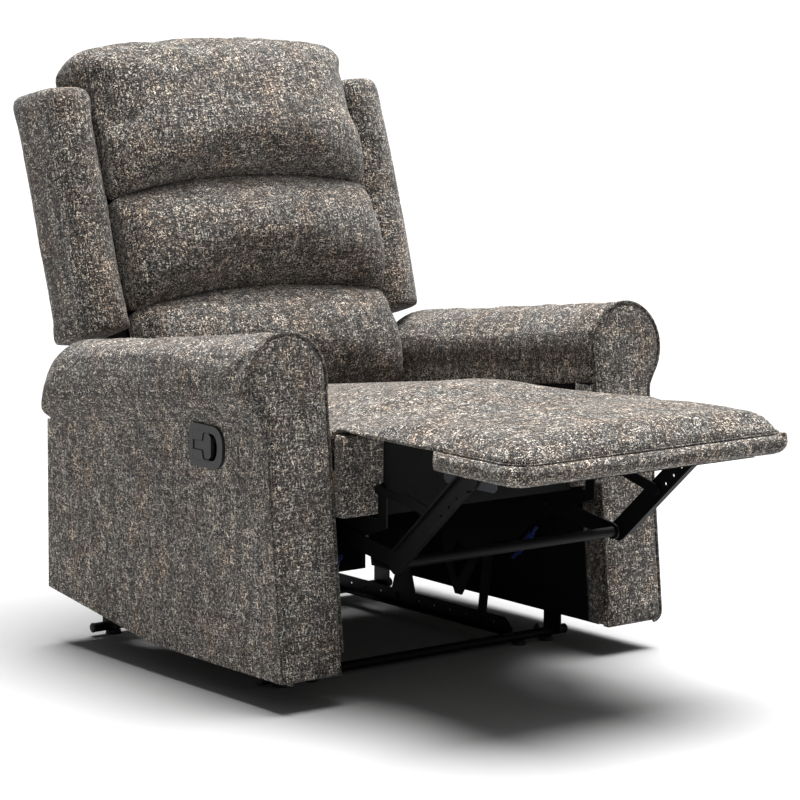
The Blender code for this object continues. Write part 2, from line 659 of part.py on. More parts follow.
def make_tension_spring(where, side):
    start, end = Vector((0.094, 0.200)), Vector((0.150, 0.142))
    run = end - start
    x_mid = SEAT_PLATE_X - 0.0095
    parts = [(0.0, 0.22, 0.0028), (0.20, 0.80, 0.0060), (0.78, 1.0, 0.0028)]
    spring = None
    for k, (near, far, radius) in enumerate(parts):
        low, high = start + run * near, start + run * far
        bm = bmesh.new()
        bmesh.ops.create_cone(bm, cap_ends=True, segments=10, radius1=radius, radius2=radius,
                              depth=(high - low).length)
        heading = Vector((0, run.x, run.y)).to_track_quat("Z", "Y")
        bmesh.ops.rotate(bm, verts=bm.verts, cent=(0, 0, 0), matrix=heading.to_matrix())
        middle = (low + high) / 2
        bmesh.ops.translate(bm, verts=bm.verts, vec=(side * x_mid, middle.x, middle.y))
        if spring is None:
            spring = finish("tension_spring_" + where, bm, BLUE_SLEEVE)
        else:
            fuse(spring, f"tension_part_{k}_{where}", bm)


for where, side in SIDES.items():
    make_seat_plate(where, side)
    make_tension_spring(where, side)
make_seat_rails()
for number, at_x in enumerate((-0.130, 0.0, 0.130), start=1):
    make_seat_spring(f"seat_spring_{number}", at_x)
make_seat_cushion()


# ---------------------------------------------------------------- footrest and its linkage
def make_footrest():
    pivot = (0, *FOLD)
    board_half = BRACKET_X - GAP
    board_top = PAD_LOW - GAP
    board_front, board_rear = PAD_FRONT + 0.012, PAD_REAR - 0.015
    bevel(box("footrest_board", (-board_half, board_front, board_top - FOOT_BOARD),
              (board_half, board_rear, board_top), TIMBER, pivot=pivot), 0.002, 1)
    half = HALF_SEAT - SIDE_PLAY
    box("footrest_pad", (-half, PAD_FRONT, PAD_LOW), (half, PAD_REAR, PAD_TOP), TWEED, pivot=pivot)
    for where, side in SIDES.items():
        low = TOE_PIN[1] - 0.016
        outline = [(TOE_PIN[0] - 0.051, low + 0.006), (TOE_PIN[0] - 0.045, low), (TOE_PIN[0] + 0.057, low),
                   (TOE_PIN[0] + 0.063, low + 0.006), (TOE_PIN[0] + 0.063, board_top),
                   (TOE_PIN[0] - 0.051, board_top)]
        holes = [ring(TOE_PIN, RIVET_RADIUS + RIVET_PLAY)]
        holes += [ring((TOE_PIN[0] + step, TOE_PIN[1] + 0.003), 0.0028, 8)
                  for step in (-0.018, -0.030, -0.042)]
        plate("footrest_bracket_" + where, outline, span(side, BRACKET_X, BRACKET_X + PLATE),
              GREY_STEEL, holes, pivot=pivot)


def between(start, end, share, aside=0.0):
    """Point on the line from start to end, moved aside to its left."""
    run = Vector(end) - Vector(start)
    left = Vector((-run.y, run.x)).normalized()
    return tuple(Vector(start) + run * share + left * aside)


def make_main_link(where, side):
    """Long pressed channel from the elbow to the footrest bracket."""
    half = 0.016
    outline = capsule(ELBOW, TOE_PIN, half)
    holes = [ring(between(ELBOW, TOE_PIN, share, 0.004), 0.0028, 8) for share in (0.60, 0.70, 0.80)]
    link = plate("main_link_" + where, outline, span(side, MAIN_X, MAIN_X + PLATE), BLACK_STEEL, holes,
                 pivot=(0, *TOE_PIN))
    for label, edge in (("upper", -1), ("lower", 1)):
        inner, outer = edge * (half - PLATE), edge * (half - 0.0002)
        strip = [between(ELBOW, TOE_PIN, 0.06, inner), between(ELBOW, TOE_PIN, 0.94, inner),
                 between(ELBOW, TOE_PIN, 0.94, outer), between(ELBOW, TOE_PIN, 0.06, outer)]
        x_range = span(side, MAIN_X + PLATE / 2, MAIN_X + PLATE + MAIN_FLANGE)
        fuse(link, f"main_{label}_{where}", plate_bm(strip, *x_range))
    rivet(link, "toe_rivet_" + where, side, TOE_PIN, MAIN_X + PLATE / 2, BRACKET_X - 0.0006, True)
    rivet(link, "elbow_rivet_" + where, side, ELBOW, MAIN_X + PLATE / 2, DRIVE_X + PLATE + 0.0006, False)
    rivet(link, "hook_rivet_" + where, side, HOOK_TIP, MAIN_X + PLATE / 2, HOOK_X + PLATE + 0.0005, False)


def make_drive_arm(where, side):
    arm = plate("drive_arm_" + where, capsule(ELBOW, DRIVE_PIN, 0.0125),
                span(side, DRIVE_X, DRIVE_X + PLATE), BLACK_STEEL, pivot=(0, *DRIVE_PIN))
    rivet(arm, "drive_rivet_" + where, side, DRIVE_PIN, DRIVE_X + PLATE / 2, SEAT_PLATE_X - 0.0006, True)


def make_hook_link(where, side):
    """Short link with a cranked nose, from the seat plate's lug to the main link."""
    shape = [(-0.068, 0.003), (-0.045, 0.0075), (0.45, 0.0015), (1.02, 0.0085), (1.065, 0.003),
             (1.065, -0.004), (1.02, -0.0085), (0.62, -0.0125), (0.42, -0.0140), (0.30, -0.0072),
             (0.10, -0.0072), (-0.045, -0.0075), (-0.068, -0.003)]
    outline = [between(HOOK_PIN, HOOK_TIP, share, aside) for share, aside in shape]
    link = plate("hook_link_" + where, outline, span(side, HOOK_X, HOOK_X + PLATE), BLACK_STEEL,
                 pivot=(0, *HOOK_PIN))
    rivet(link, "lug_rivet_" + where, side, HOOK_PIN, HOOK_X + PLATE / 2, SEAT_PLATE_X - 0.0006, True)


make_footrest()
for where, side in SIDES.items():
    make_main_link(where, side)
    make_drive_arm(where, side)
    make_hook_link(where, side)
tube_half = DRIVE_X - GAP
finish("torque_tube", plate_bm(ring(ELBOW, TORQUE_RADIUS, 14), -tube_half, tube_half,
                               [ring(ELBOW, TORQUE_RADIUS - 0.0015, 14)]), BLACK_STEEL,
       pivot=(0, *DRIVE_PIN), smooth=True)


# ---------------------------------------------------------------- back
def back_box(name, low, high, look):
    """Box in the back's own coordinates: X, across (w), along (u)."""
    return finish(name, box_bm(low, high), look, parent=back_axis)


POST_OUTER = CUSHION_WIDTH / 2 + 0.005
POST_INNER = POST_OUTER - BACK_POST_WIDTH
POST_LOW = 0.030
FRAME_TOP = WING_TOP


def make_back_frame():
    for where, side in SIDES.items():
        low, high = span(side, POST_INNER, POST_OUTER)
        back_box("back_post_" + where, (low, 0, POST_LOW), (high, POST_DEPTH, FRAME_TOP), TIMBER)
        bracket_x = span(side, POST_INNER - GAP - PLATE, POST_INNER - GAP)
        foot = [(0.016 * math.cos(a), 0.016 * math.sin(a)) for a in
                (math.radians(165 + 30 * k) for k in range(8))]
        outline = [*foot, (0.034, 0.045), (0.034, 0.150), (0.004, 0.150), (0.004, 0.042)]
        bracket = finish("back_bracket_" + where, plate_bm(outline, *bracket_x), BLACK_STEEL,
                         parent=back_axis)
        rivet(bracket, "hinge_" + where, side, (0, 0), POST_INNER - GAP - PLATE / 2,
              SEAT_PLATE_X - 0.0006, True)
    rail = POST_INNER - GAP - PLATE - GAP
    back_box("back_bottom_rail", (-rail, 0.005, 0.045), (rail, 0.030, 0.095), TIMBER)
    back_box("back_top_rail", (-POST_INNER + GAP, 0.0, FRAME_TOP - 0.050),
             (POST_INNER - GAP, 0.035, FRAME_TOP), TIMBER)
    for number, height in enumerate((SEAM_LOW + 0.028, SEAM_HIGH - 0.002), start=1):
        back_box(f"back_webbing_{number}", (-POST_OUTER, -GAP - WEB_THICK, height),
                 (POST_OUTER, -GAP, height + 0.060), WEB)


def make_back_cushions():
    half = CUSHION_WIDTH / 2
    rear = -GAP - WEB_THICK - GAP
    bevel(back_box("lumbar_cushion", (-half, CUSHION_FACE, LUMBAR_LOW), (half, rear, SEAM_LOW - GAP),
                   TWEED), 0.018, 2)
    bevel(back_box("middle_cushion", (-half, CUSHION_FACE, SEAM_LOW), (half, rear, SEAM_HIGH - GAP), TWEED),
          0.018, 2)
    outline = [(CUSHION_FACE, SEAM_HIGH), (rear, SEAM_HIGH), (rear, FRAME_TOP + GAP),
               (BACK_REAR - 0.018, FRAME_TOP + GAP), (BACK_REAR - 0.022, BACK_LENGTH - 0.030),
               (BACK_REAR - 0.060, BACK_LENGTH), (CUSHION_FACE + 0.050, BACK_LENGTH),
               (CUSHION_FACE + 0.012, BACK_LENGTH - 0.030)]
    finish("head_cushion", plate_bm(outline, -half, half), TWEED, parent=back_axis)


def make_wings_and_cover():
    for where, side in SIDES.items():
        low, high = span(side, POST_OUTER + GAP, POST_OUTER + GAP + WING_WIDTH)
        wing = back_box("wing_" + where, (low, WING_FRONT, WING_LOW),
                        (high, BACK_REAR - GAP, WING_TOP), TWEED)
        bevel(wing, 0.012, 2)
    back_box("rear_cover", (-POST_OUTER, POST_DEPTH + GAP, -0.010), (POST_OUTER, BACK_REAR, COVER_TOP),
             TWEED)


make_back_frame()
make_back_cushions()
make_wings_and_cover()
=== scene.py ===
# %% [markdown]
# # A recliner armchair, finished
#
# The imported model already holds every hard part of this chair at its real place. What is left is what
# the eye meets first: padding, tweed, piping, black steel and light. Each step below first says what
# the real piece is, then makes it.

# %% Load the frame
import json
from math import acos, cos, exp, pi, radians, sin, sqrt

import bmesh
import bpy
import numpy as np
from mathutils import Matrix, Vector, geometry, noise


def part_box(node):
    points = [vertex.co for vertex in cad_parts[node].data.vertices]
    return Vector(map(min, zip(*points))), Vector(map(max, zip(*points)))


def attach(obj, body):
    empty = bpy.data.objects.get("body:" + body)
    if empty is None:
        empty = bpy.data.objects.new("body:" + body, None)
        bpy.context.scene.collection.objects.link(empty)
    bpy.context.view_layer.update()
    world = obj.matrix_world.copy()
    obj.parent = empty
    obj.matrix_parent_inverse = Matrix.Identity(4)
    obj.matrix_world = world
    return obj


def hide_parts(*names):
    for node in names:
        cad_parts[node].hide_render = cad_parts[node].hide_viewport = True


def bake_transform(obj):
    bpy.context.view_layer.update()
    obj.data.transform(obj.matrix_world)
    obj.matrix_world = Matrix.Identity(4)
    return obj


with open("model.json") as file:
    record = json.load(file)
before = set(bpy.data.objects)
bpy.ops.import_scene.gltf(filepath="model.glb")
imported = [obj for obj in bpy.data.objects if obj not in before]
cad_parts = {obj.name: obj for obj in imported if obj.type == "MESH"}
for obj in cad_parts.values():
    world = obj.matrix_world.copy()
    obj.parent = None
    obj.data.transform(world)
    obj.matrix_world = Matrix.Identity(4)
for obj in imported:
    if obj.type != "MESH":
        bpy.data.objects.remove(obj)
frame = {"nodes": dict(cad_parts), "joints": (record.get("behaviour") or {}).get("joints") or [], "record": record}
scene = bpy.context.scene
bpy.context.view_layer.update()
SIDES = {"left": 1, "right": -1}

# %% [markdown]
# ## Where things are
#
# Upholstery follows the frame under it, so every place comes from the loaded nodes. The arms start at
# the chair's reference front edge. The back leans, so its cushions are drawn in the back's own
# directions: x across, w through its thickness (positive to the rear) and u up along it.

# %% Places taken from the frame
shell_low, shell_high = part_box("arm_shell_left")
ARM_IN, ARM_OUT = shell_low.x, shell_high.x
FRONT, REAR = shell_low.y, shell_high.y
ARM_FLOOR = shell_low.z
ROLL_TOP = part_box("arm_roll_left")[1].z
HINGE, FOLD = [Vector(next(j["pos_m"] for j in frame["joints"] if j["child"] == body))
               for body in ("back", "footrest")]
LEAN = radians(18)
ALONG = Vector((0, sin(LEAN), cos(LEAN)))
THROUGH = Vector((0, cos(LEAN), -sin(LEAN)))


def clamp(value):
    return min(1.0, max(0.0, value))


def on_back(x, w, u):
    """The place x across, w through and u along the back."""
    return Vector((x, HINGE.y, HINGE.z)) + THROUGH * w + ALONG * u


def back_box(node):
    """Lowest and highest (x, w, u) of a node of the back."""
    corners = [Vector((v.co.x, (v.co - HINGE).dot(THROUGH), (v.co - HINGE).dot(ALONG)))
               for v in frame["nodes"][node].data.vertices]
    return [Vector(pick(c[k] for c in corners) for k in range(3)) for pick in (min, max)]


for node in ("lumbar_cushion", "middle_cushion", "head_cushion", "wing_left"):
    low, high = back_box(node)
    print(node, [round(v, 3) for v in (*low, *high)])

# %% [markdown]
# ## A small language for finishes
#
# A finish is a graph of shader nodes. Drawing it one node at a time hides the idea, so a socket is
# wrapped in a class that knows arithmetic: `1 - mask` or `grain * 0.2` adds the Math nodes by itself.
# Everything else comes from one method that takes a node's type, its settings and its sockets.

# %% Sockets that do arithmetic


class Wire:
    """One output socket, usable in a Python expression."""

    def __init__(self, finish, socket):
        self.finish, self.socket = finish, socket

    def _maths(self, operation, *values):
        return self.finish.node("Math", {"operation": operation}, dict(enumerate(values)))

    def _operator(operation, swapped=False):
        def method(self, other):
            return self._maths(operation, *((other, self) if swapped else (self, other)))
        return method

    __add__ = __radd__ = _operator("ADD")
    __sub__, __rsub__ = _operator("SUBTRACT"), _operator("SUBTRACT", swapped=True)
    __mul__ = __rmul__ = _operator("MULTIPLY")
    __lt__, __gt__ = _operator("LESS_THAN"), _operator("GREATER_THAN")
    low = _operator("MINIMUM")


class Finish:
    """A material under construction."""

    def __init__(self, name, roughness=0.5, metallic=0.0, **sockets):
        self.material = bpy.data.materials.new(name)
        self.material.use_nodes = True
        self.tree = self.material.node_tree
        self.shader = self.tree.nodes["Principled BSDF"]
        self.set("Roughness", roughness)
        self.set("Metallic", metallic)
        for label, value in sockets.items():
            self.set(label.replace("_", " "), value)

    def set(self, label, value):
        self._plug(self.shader.inputs[label], value)

    def _plug(self, socket, value):
        if isinstance(value, Wire):
            self.tree.links.new(value.socket, socket)
        elif socket.type == "RGBA" and len(value) == 3:
            socket.default_value = (*value, 1.0)
        else:
            socket.default_value = value

    def node(self, kind, settings=None, sockets=None, output=0):
        made = self.tree.nodes.new("ShaderNode" + kind)
        for label, value in (settings or {}).items():
            if label == "stops":
                ramp = made.color_ramp
                while len(ramp.elements) < len(value):
                    ramp.elements.new(0.5)
                for element, (place, colour) in zip(ramp.elements, value):
                    element.position = place
                    element.color = (*colour, 1.0)
            elif label == "blend":
                made.color_ramp.interpolation = value
            else:
                setattr(made, label, value)
        for label, value in (sockets or {}).items():
            self._plug(made.inputs[label], value)
        return Wire(self, made.outputs[output])

    def mix(self, share, first, second, way="MIX"):
        return self.node("Mix", {"data_type": "RGBA", "blend_type": way},
                         {0: share, 6: first, 7: second}, output=2)

    def colour(self, *how):
        self.set("Base Color", self.mix(*how))

    def place(self, lean=0.0):
        """The piece's own coordinates at rest, turned to follow a lean."""
        own = self.node("TexCoord", output=3)
        return self.node("Mapping", {}, {0: own, 2: (lean, 0.0, 0.0)}) if lean else own

    def stretched(self, place, scale):
        return self.node("VectorMath", {"operation": "MULTIPLY"}, {0: place, 1: scale})

    def grain(self, place, scale, detail=2.0, roughness=0.5):
        return self.node("TexNoise", {}, {"Vector": place, "Scale": scale, "Detail": detail,
                                          "Roughness": roughness})

    def waves(self, place, scale, **sockets):
        return self.node("TexWave", {"wave_type": "BANDS", "bands_direction": "Z"},
                         {"Vector": place, "Scale": scale, **sockets})

    def bump(self, height, depth, strength=1.0):
        self.set("Normal", self.node("Bump", {}, {"Height": height, "Distance": depth,
                                                  "Strength": strength}))


# %% [markdown]
# ## Tweed
#
# The cover is a coarse chenille tweed: short thick yarns of charcoal, brown, grey, tan, slate and
# off-white, crossing at right angles, with soft streaks where a yarn thickens. An image would stretch
# over the curves. Long Voronoi cells do it instead: one set of cells runs along each direction in
# space, each cell is one length of yarn with its own dye, and whichever yarn's middle is nearest lies
# on top. The same distances give the bump.

# %% The tweed finish
YARN = 0.0018           # thickness of a yarn
YARN_RUN = 0.0062       # length that keeps one dye
DYES = [(0.00, (0.003, 0.003, 0.003)), (0.27, (0.018, 0.012, 0.009)), (0.40, (0.058, 0.048, 0.041)),
        (0.55, (0.130, 0.098, 0.074)), (0.66, (0.075, 0.083, 0.084)), (0.76, (0.270, 0.244, 0.214)),
        (0.89, (0.560, 0.520, 0.465))]


def tweed(name, lean=0.0, shade=1.0):
    cloth = Finish(name, roughness=0.95, Sheen_Weight=0.15, Sheen_Roughness=0.6)
    cloth.shader.inputs["Specular IOR Level"].default_value = 0.25
    place = cloth.place(lean)
    wobble = cloth.node("TexNoise", {}, {"Vector": place, "Scale": 130.0, "Detail": 1.0}, output=1)
    shift = cloth.node("VectorMath", {"operation": "MULTIPLY_ADD"},
                       {0: wobble, 1: (0.002, 0.002, 0.002), 2: place})
    nearest, dye = None, None
    for axis in range(3):
        scale = [1 / YARN] * 3
        scale[axis] = 1 / YARN_RUN
        yarns = cloth.node("TexVoronoi", {"voronoi_dimensions": "3D"},
                           {"Vector": cloth.stretched(shift, scale), "Scale": 1.0})
        tone = Wire(cloth, yarns.socket.node.outputs["Color"])
        if nearest is None:
            nearest, dye = yarns, tone
        else:
            dye = cloth.mix(yarns < nearest, dye, tone)
            nearest = nearest.low(yarns)
    pick = cloth.node("SeparateColor", {}, {0: dye})
    colour = cloth.node("ValToRGB", {"stops": DYES, "blend": "CONSTANT"}, {0: pick})
    streaks = cloth.grain(cloth.stretched(place, (95.0, 95.0, 17.0)), 1.0, 3.0)
    bands = cloth.grain(cloth.stretched(place, (15.0, 60.0, 110.0)), 1.0, 3.0)
    patches = cloth.grain(place, 16.0, 3.0, 0.6)
    for amount, low, high in ((streaks, (0.62, 0.62, 0.63), (1.52, 1.46, 1.38)),
                              (bands, (0.68, 0.66, 0.64), (1.40, 1.38, 1.34)),
                              (patches, (0.95, 1.00, 1.03), (1.09, 0.98, 0.90))):
        tint = cloth.node("ValToRGB", {"stops": [(0.32, low), (0.50, (1.0, 1.0, 1.0)), (0.68, high)]},
                          {0: amount})
        colour = cloth.mix(1.0, colour, tint, "MULTIPLY")
    fibres = cloth.grain(place, 900.0, 2.0)
    # shade below 1 darkens every tone of the cloth: painted shade, used for the darker piping and seam cords.
    shades = [(0.30, (0.55 * shade,) * 3), (0.70, (1.42 * shade,) * 3)]
    cloth.colour(1.0, colour, cloth.node("ValToRGB", {"stops": shades}, {0: fibres}), "MULTIPLY")
    cloth.bump((1 - nearest) + fibres * 0.5, 0.0016, 0.75)
    return cloth.material


TWEED = tweed("tweed")
TWEED_BACK = tweed("tweed_back", lean=LEAN)
# The piping and seam cords take this tweed darkened to 0.62: painted shade along the cords.
SHADED_PIPING = tweed("tweed_piping_painted_shade", shade=0.62)
print("tweed dyes:", len(DYES))

# %% [markdown]
# ## The plain finishes
#
# The mechanism is powder-coated: black, slightly rippled, and rubbed to bare steel only where links
# turn. The handle is moulded charcoal plastic with a fine grain. Inside the arms is a thin black
# non-woven cloth, and the hidden frame is bare timber. Each one varies a little over its surface.

# %% Steel, plastic, lining, timber and the rest


def times(colour, factor, more=0.0):
    return tuple(min(1.0, c * factor + more) for c in colour)


def powder_coat(name, colour, roughness):
    coat = Finish(name, Specular_IOR_Level=0.13)
    place = coat.place()
    ripple = coat.grain(place, 420.0, 2.0)
    dust = coat.grain(place, 22.0, 4.0, 0.65)
    coat.colour(dust * 0.5, colour, times(colour, 1.9, 0.006))
    coat.set("Roughness", ripple * 0.12 + dust * 0.14 + (roughness - 0.13))
    coat.bump(ripple, 0.00012, 0.5)
    return coat.material


def plated(name, colour, roughness):
    plate = Finish(name, metallic=1.0)
    place = plate.place()
    brushed = plate.grain(plate.stretched(place, (900.0, 60.0, 900.0)), 1.0, 2.0)
    bloom = plate.grain(place, 45.0, 4.0, 0.7)
    plate.colour(bloom, times(colour, 0.72), colour)
    plate.set("Roughness", brushed * 0.2 + bloom * 0.15 + (roughness - 0.17))
    plate.bump(brushed, 0.00008, 0.4)
    return plate.material


def moulded(name, colour, roughness):
    resin = Finish(name, Specular_IOR_Level=0.4)
    place = resin.place()
    texture = resin.node("TexVoronoi", {}, {"Vector": place, "Scale": 1700.0})
    haze = resin.grain(place, 60.0, 3.0)
    resin.colour(haze * 0.6, colour, times(colour, 1.5))
    resin.set("Roughness", haze * 0.14 + (roughness - 0.07))
    resin.bump(texture, 0.0001, 0.35)
    return resin.material


def nonwoven(name, colour):
    felt = Finish(name, roughness=0.95, Specular_IOR_Level=0.2)
    place = felt.place()
    fibres = felt.grain(felt.stretched(place, (500.0, 180.0, 500.0)), 1.0, 3.0, 0.7)
    dimples = felt.node("TexVoronoi", {}, {"Vector": place, "Scale": 420.0})
    felt.colour(fibres, times(colour, 0.55), times(colour, 1.5))
    felt.bump(dimples + fibres * 0.6, 0.0004, 0.6)
    return felt.material


def sawn_timber(name):
    wood = Finish(name, roughness=0.75)
    place = wood.place()
    rings = wood.waves(wood.stretched(place, (2.0, 2.0, 30.0)), 1.6, Distortion=6.0, Detail=3.0)
    fibre = wood.grain(wood.stretched(place, (30.0, 30.0, 420.0)), 1.0, 3.0)
    light = wood.mix(rings, (0.56, 0.40, 0.235), (0.40, 0.265, 0.145))
    wood.colour(fibre * 0.5, light, (0.30, 0.19, 0.10))
    wood.set("Roughness", fibre * 0.2 + 0.6)
    wood.bump(fibre, 0.0003, 0.5)
    return wood.material


def sleeve(name):
    tube = Finish(name, roughness=0.35, Coat_Weight=0.2)
    place = tube.place()
    turns = tube.waves(place, 95.0)
    scuffs = tube.grain(place, 140.0, 3.0, 0.7)
    blue = tube.mix(turns * 0.5, (0.006, 0.016, 0.085), (0.012, 0.035, 0.17))
    tube.colour((scuffs > 0.62) * 0.3, blue, (0.2, 0.22, 0.26))
    tube.bump(turns, 0.0004, 0.4)
    return tube.material


def belting(name):
    web = Finish(name, roughness=0.9)
    place = web.place()
    ribs = web.waves(place, 120.0, Distortion=0.4)
    web.colour(ribs, (0.045, 0.040, 0.036), (0.15, 0.13, 0.11))
    web.bump(ribs, 0.0004, 0.6)
    return web.material


BLACK_STEEL = powder_coat("black_steel", (0.0030, 0.0031, 0.0036), 0.46)
ZINC = plated("zinc_steel", (0.060, 0.062, 0.070), 0.50)
WIRE_STEEL = plated("spring_steel", (0.30, 0.29, 0.28), 0.38)
PLASTIC = moulded("charcoal_plastic", (0.016, 0.017, 0.019), 0.40)
RUBBER = moulded("black_rubber", (0.010, 0.010, 0.011), 0.62)
LINING = nonwoven("black_lining", (0.0035, 0.0035, 0.0042))
DUST_CLOTH = nonwoven("dust_cloth", (0.0085, 0.0088, 0.0098))
TIMBER = sawn_timber("sawn_timber")
BLUE = sleeve("blue_sleeve")
WEBBING = belting("webbing")

# %% [markdown]
# ## Dressing the parts that stay
#
# The hard parts already have their true shapes, so they keep them: each one gets its finish and a very
# small rounding along its edges, which is what catches the light on cut steel and moulded plastic.

# %% Finishes and small roundings on the frame's own nodes
FINISH_OF_SLOT = {"black_steel": (BLACK_STEEL, 0.0004), "zinc_steel": (ZINC, 0.0004),
                  "spring_steel": (WIRE_STEEL, 0.0), "black_plastic": (PLASTIC, 0.0007),
                  "timber": (TIMBER, 0.0012), "blue_sleeve": (BLUE, 0.0), "webbing": (WEBBING, 0.0),
                  "black_lining": (LINING, 0.0008), "tweed_fabric": (TWEED, 0.0)}


def round_edges(piece, width, segments=2, angle=40):
    step = piece.modifiers.new("edge", "BEVEL")
    step.width, step.segments = width, segments
    step.limit_method, step.angle_limit = "ANGLE", radians(angle)
    step.harden_normals = False
    return step


for entry in frame["record"]["subparts"]:
    node = frame["nodes"][entry["node"]]
    material, rounding = FINISH_OF_SLOT[entry["material_slot"]]
    node.data.materials.clear()
    node.data.materials.append(material)
    if rounding:
        round_edges(node, rounding)
for name in ("release_cable", "torque_tube", "lever_pin", "tension_spring_left", "tension_spring_right"):
    frame["nodes"][name].data.shade_smooth()
for name in ("back_post_left", "back_post_right", "back_bottom_rail"):
    frame["nodes"][name].data.materials[0] = LINING
for name in ("foot_front_left", "foot_front_right", "foot_rear_left", "foot_rear_right", "release_cable"):
    frame["nodes"][name].data.materials[0] = RUBBER

# %% [markdown]
# ## Making a piece
#
# Every new piece is a mesh or a curve that rides on one body of the chair. Most padding is a loft: a
# row of closed outlines, one behind the other, joined by faces and closed at both ends.

# %% Helpers for pieces


def settle(piece, body, material, slot="tweed_fabric", smooth=True):
    piece.data.materials.clear()
    piece.data.materials.append(material)
    if smooth and piece.type == "MESH":
        piece.data.shade_smooth()
    if body:
        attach(piece, body)
    return piece


def new_object(name, data):
    made = bpy.data.objects.new(name, data)
    scene.collection.objects.link(made)
    return made


def mesh_from(name, points, faces):
    mesh = bpy.data.meshes.new(name)
    mesh.from_pydata([tuple(p) for p in points], [], faces)
    mesh.validate()
    bm = bmesh.new()
    bm.from_mesh(mesh)
    bmesh.ops.recalc_face_normals(bm, faces=bm.faces)
    bm.to_mesh(mesh)
    bm.free()
    return new_object(name, mesh)


def loft(name, rings):
    """Closed body through outlines that all have the same number of points."""
    count = len(rings[0])
    faces = [(r * count + k, r * count + (k + 1) % count, (r + 1) * count + (k + 1) % count,
              (r + 1) * count + k) for r in range(len(rings) - 1) for k in range(count)]
    faces.append(tuple(range(count)))
    faces.append(tuple((len(rings) - 1) * count + k for k in reversed(range(count))))
    return mesh_from(name, [p for ring in rings for p in ring], faces)


def subdivide(piece, levels=1):
    step = piece.modifiers.new("smooth", "SUBSURF")
    step.levels = step.render_levels = levels
    return piece


def thicken(piece, thickness=0.0008):
    step = piece.modifiers.new("cloth", "SOLIDIFY")
    step.thickness = thickness


def bake(piece):
    """Apply every modifier, so that the mesh itself holds the shape."""
    graph = bpy.context.evaluated_depsgraph_get()
    shaped = bpy.data.meshes.new_from_object(piece.evaluated_get(graph))
    piece.modifiers.clear()
    piece.data = shaped
    return piece


def tube(name, points, radius, body, material, slot="tweed_fabric", closed=False, sides=2):
    """A round cord or bead through the points."""
    curve = bpy.data.curves.new(name, "CURVE")
    curve.dimensions = "3D"
    curve.bevel_depth, curve.bevel_resolution, curve.use_fill_caps = radius, sides, True
    line = curve.splines.new("POLY")
    line.points.add(len(points) - 1)
    for target, point in zip(line.points, points):
        target.co = (*point, 1.0)
    line.use_cyclic_u = closed
    line.use_smooth = True
    return settle(new_object(name, curve), body, material, slot)


def steps(count, start=0.0, stop=1.0):
    return [start + (stop - start) * k / (count - 1) for k in range(count)]


def eased(count):
    """From 0 to 1 with closer steps at both ends."""
    return [(1 - cos(pi * t)) / 2 for t in steps(count)]


def through(knots, count, closed=True):
    """A smooth line of evenly numbered points that passes through every knot."""
    knots = [Vector(k) for k in knots]
    total = len(knots)
    spans = total if closed else total - 1
    points = []
    for number in range(count):
        place = number * spans / (count if closed else count - 1)
        k = min(int(place), spans - 1)
        t = place - k
        a, b, c, d = [knots[(k + shift) % total] if closed else knots[min(max(k + shift, 0), total - 1)]
                      for shift in (-1, 0, 1, 2)]
        points.append(0.5 * (2 * b + (c - a) * t + (2 * a - 5 * b + 4 * c - d) * t ** 2
                             + (3 * b - a - 3 * c + d) * t ** 3))
    return points


# %% [markdown]
# ## Stuffing
#
# Foam and fibre push a cover out until its seams hold it. Cloth physics does the same: the shape is
# remeshed evenly, given a little air pressure with gravity off, and its rear face, which rests on the
# frame, is pinned. How far a point may move is capped, so no cushion grows into its neighbour.

# %% Inflate a cushion


def stuff(piece, held, voxel=0.0055, pressure=4.0, cap=0.020, frames=20, slack=0.02):
    """Swell the piece. held(point) gives 1 where the cover is fixed and 0 where it is free."""
    step = piece.modifiers.new("even", "REMESH")
    step.mode, step.voxel_size, step.use_smooth_shade = "VOXEL", voxel, True
    bake(piece)
    rest = np.array([v.co for v in piece.data.vertices])
    group = piece.vertex_groups.new(name="held")
    for vertex in piece.data.vertices:
        group.add([vertex.index], held(vertex.co), "REPLACE")
    cloth = piece.modifiers.new("stuffing", "CLOTH")
    settings = cloth.settings
    settings.use_pressure, settings.uniform_pressure_force = True, pressure
    settings.effector_weights.gravity = 0.0
    settings.vertex_group_mass = group.name
    settings.quality, settings.mass = 4, 0.4
    settings.tension_stiffness = settings.compression_stiffness = 18
    settings.bending_stiffness = 0.6
    settings.shrink_min = -slack
    cloth.collision_settings.use_collision = False
    cloth.point_cache.frame_start, cloth.point_cache.frame_end = 1, frames
    for number in range(1, frames + 1):
        scene.frame_set(number)
    bake(piece)
    scene.frame_set(1)
    swollen = np.array([v.co for v in piece.data.vertices])
    move = swollen - rest
    far = np.linalg.norm(move, axis=1, keepdims=True)
    softened = np.where(far > 1e-9, cap * np.tanh(far / cap) / np.maximum(far, 1e-9), 0.0)
    piece.data.vertices.foreach_set("co", (rest + move * softened).astype(np.float32).ravel())
    piece.vertex_groups.clear()
    print(piece.name, "swelled by up to", round(float((far * softened).max()) * 1000, 1), "mm")
    relax = piece.modifiers.new("relax", "SMOOTH")
    relax.factor, relax.iterations = 0.5, 3
    bake(piece)
    piece.data.shade_smooth()
    return piece


# %% [markdown]
# ## The three back cushions
#
# The back is a ladder of three tiers. Each tier is sewn to the one below along a seam that bows
# upwards in the middle, and bulges over it. A tier is lofted across the chair: each outline is the
# tier's own side view, and towards the ends the front edge falls back and the seams drop.

# %% Back cushions
CREASE = -0.030         # how far out of the frame the seams between tiers lie
SEAM_DROP = {"first": 0.024, "second": 0.028, "top": 0.020}
ACROSS = [0.0, 0.018, 0.05, 0.10, 0.17, 0.28, 0.42, 0.60, 0.80]
ACROSS = [v - 1 for v in ACROSS] + [0.0] + [1 - v for v in reversed(ACROSS)]


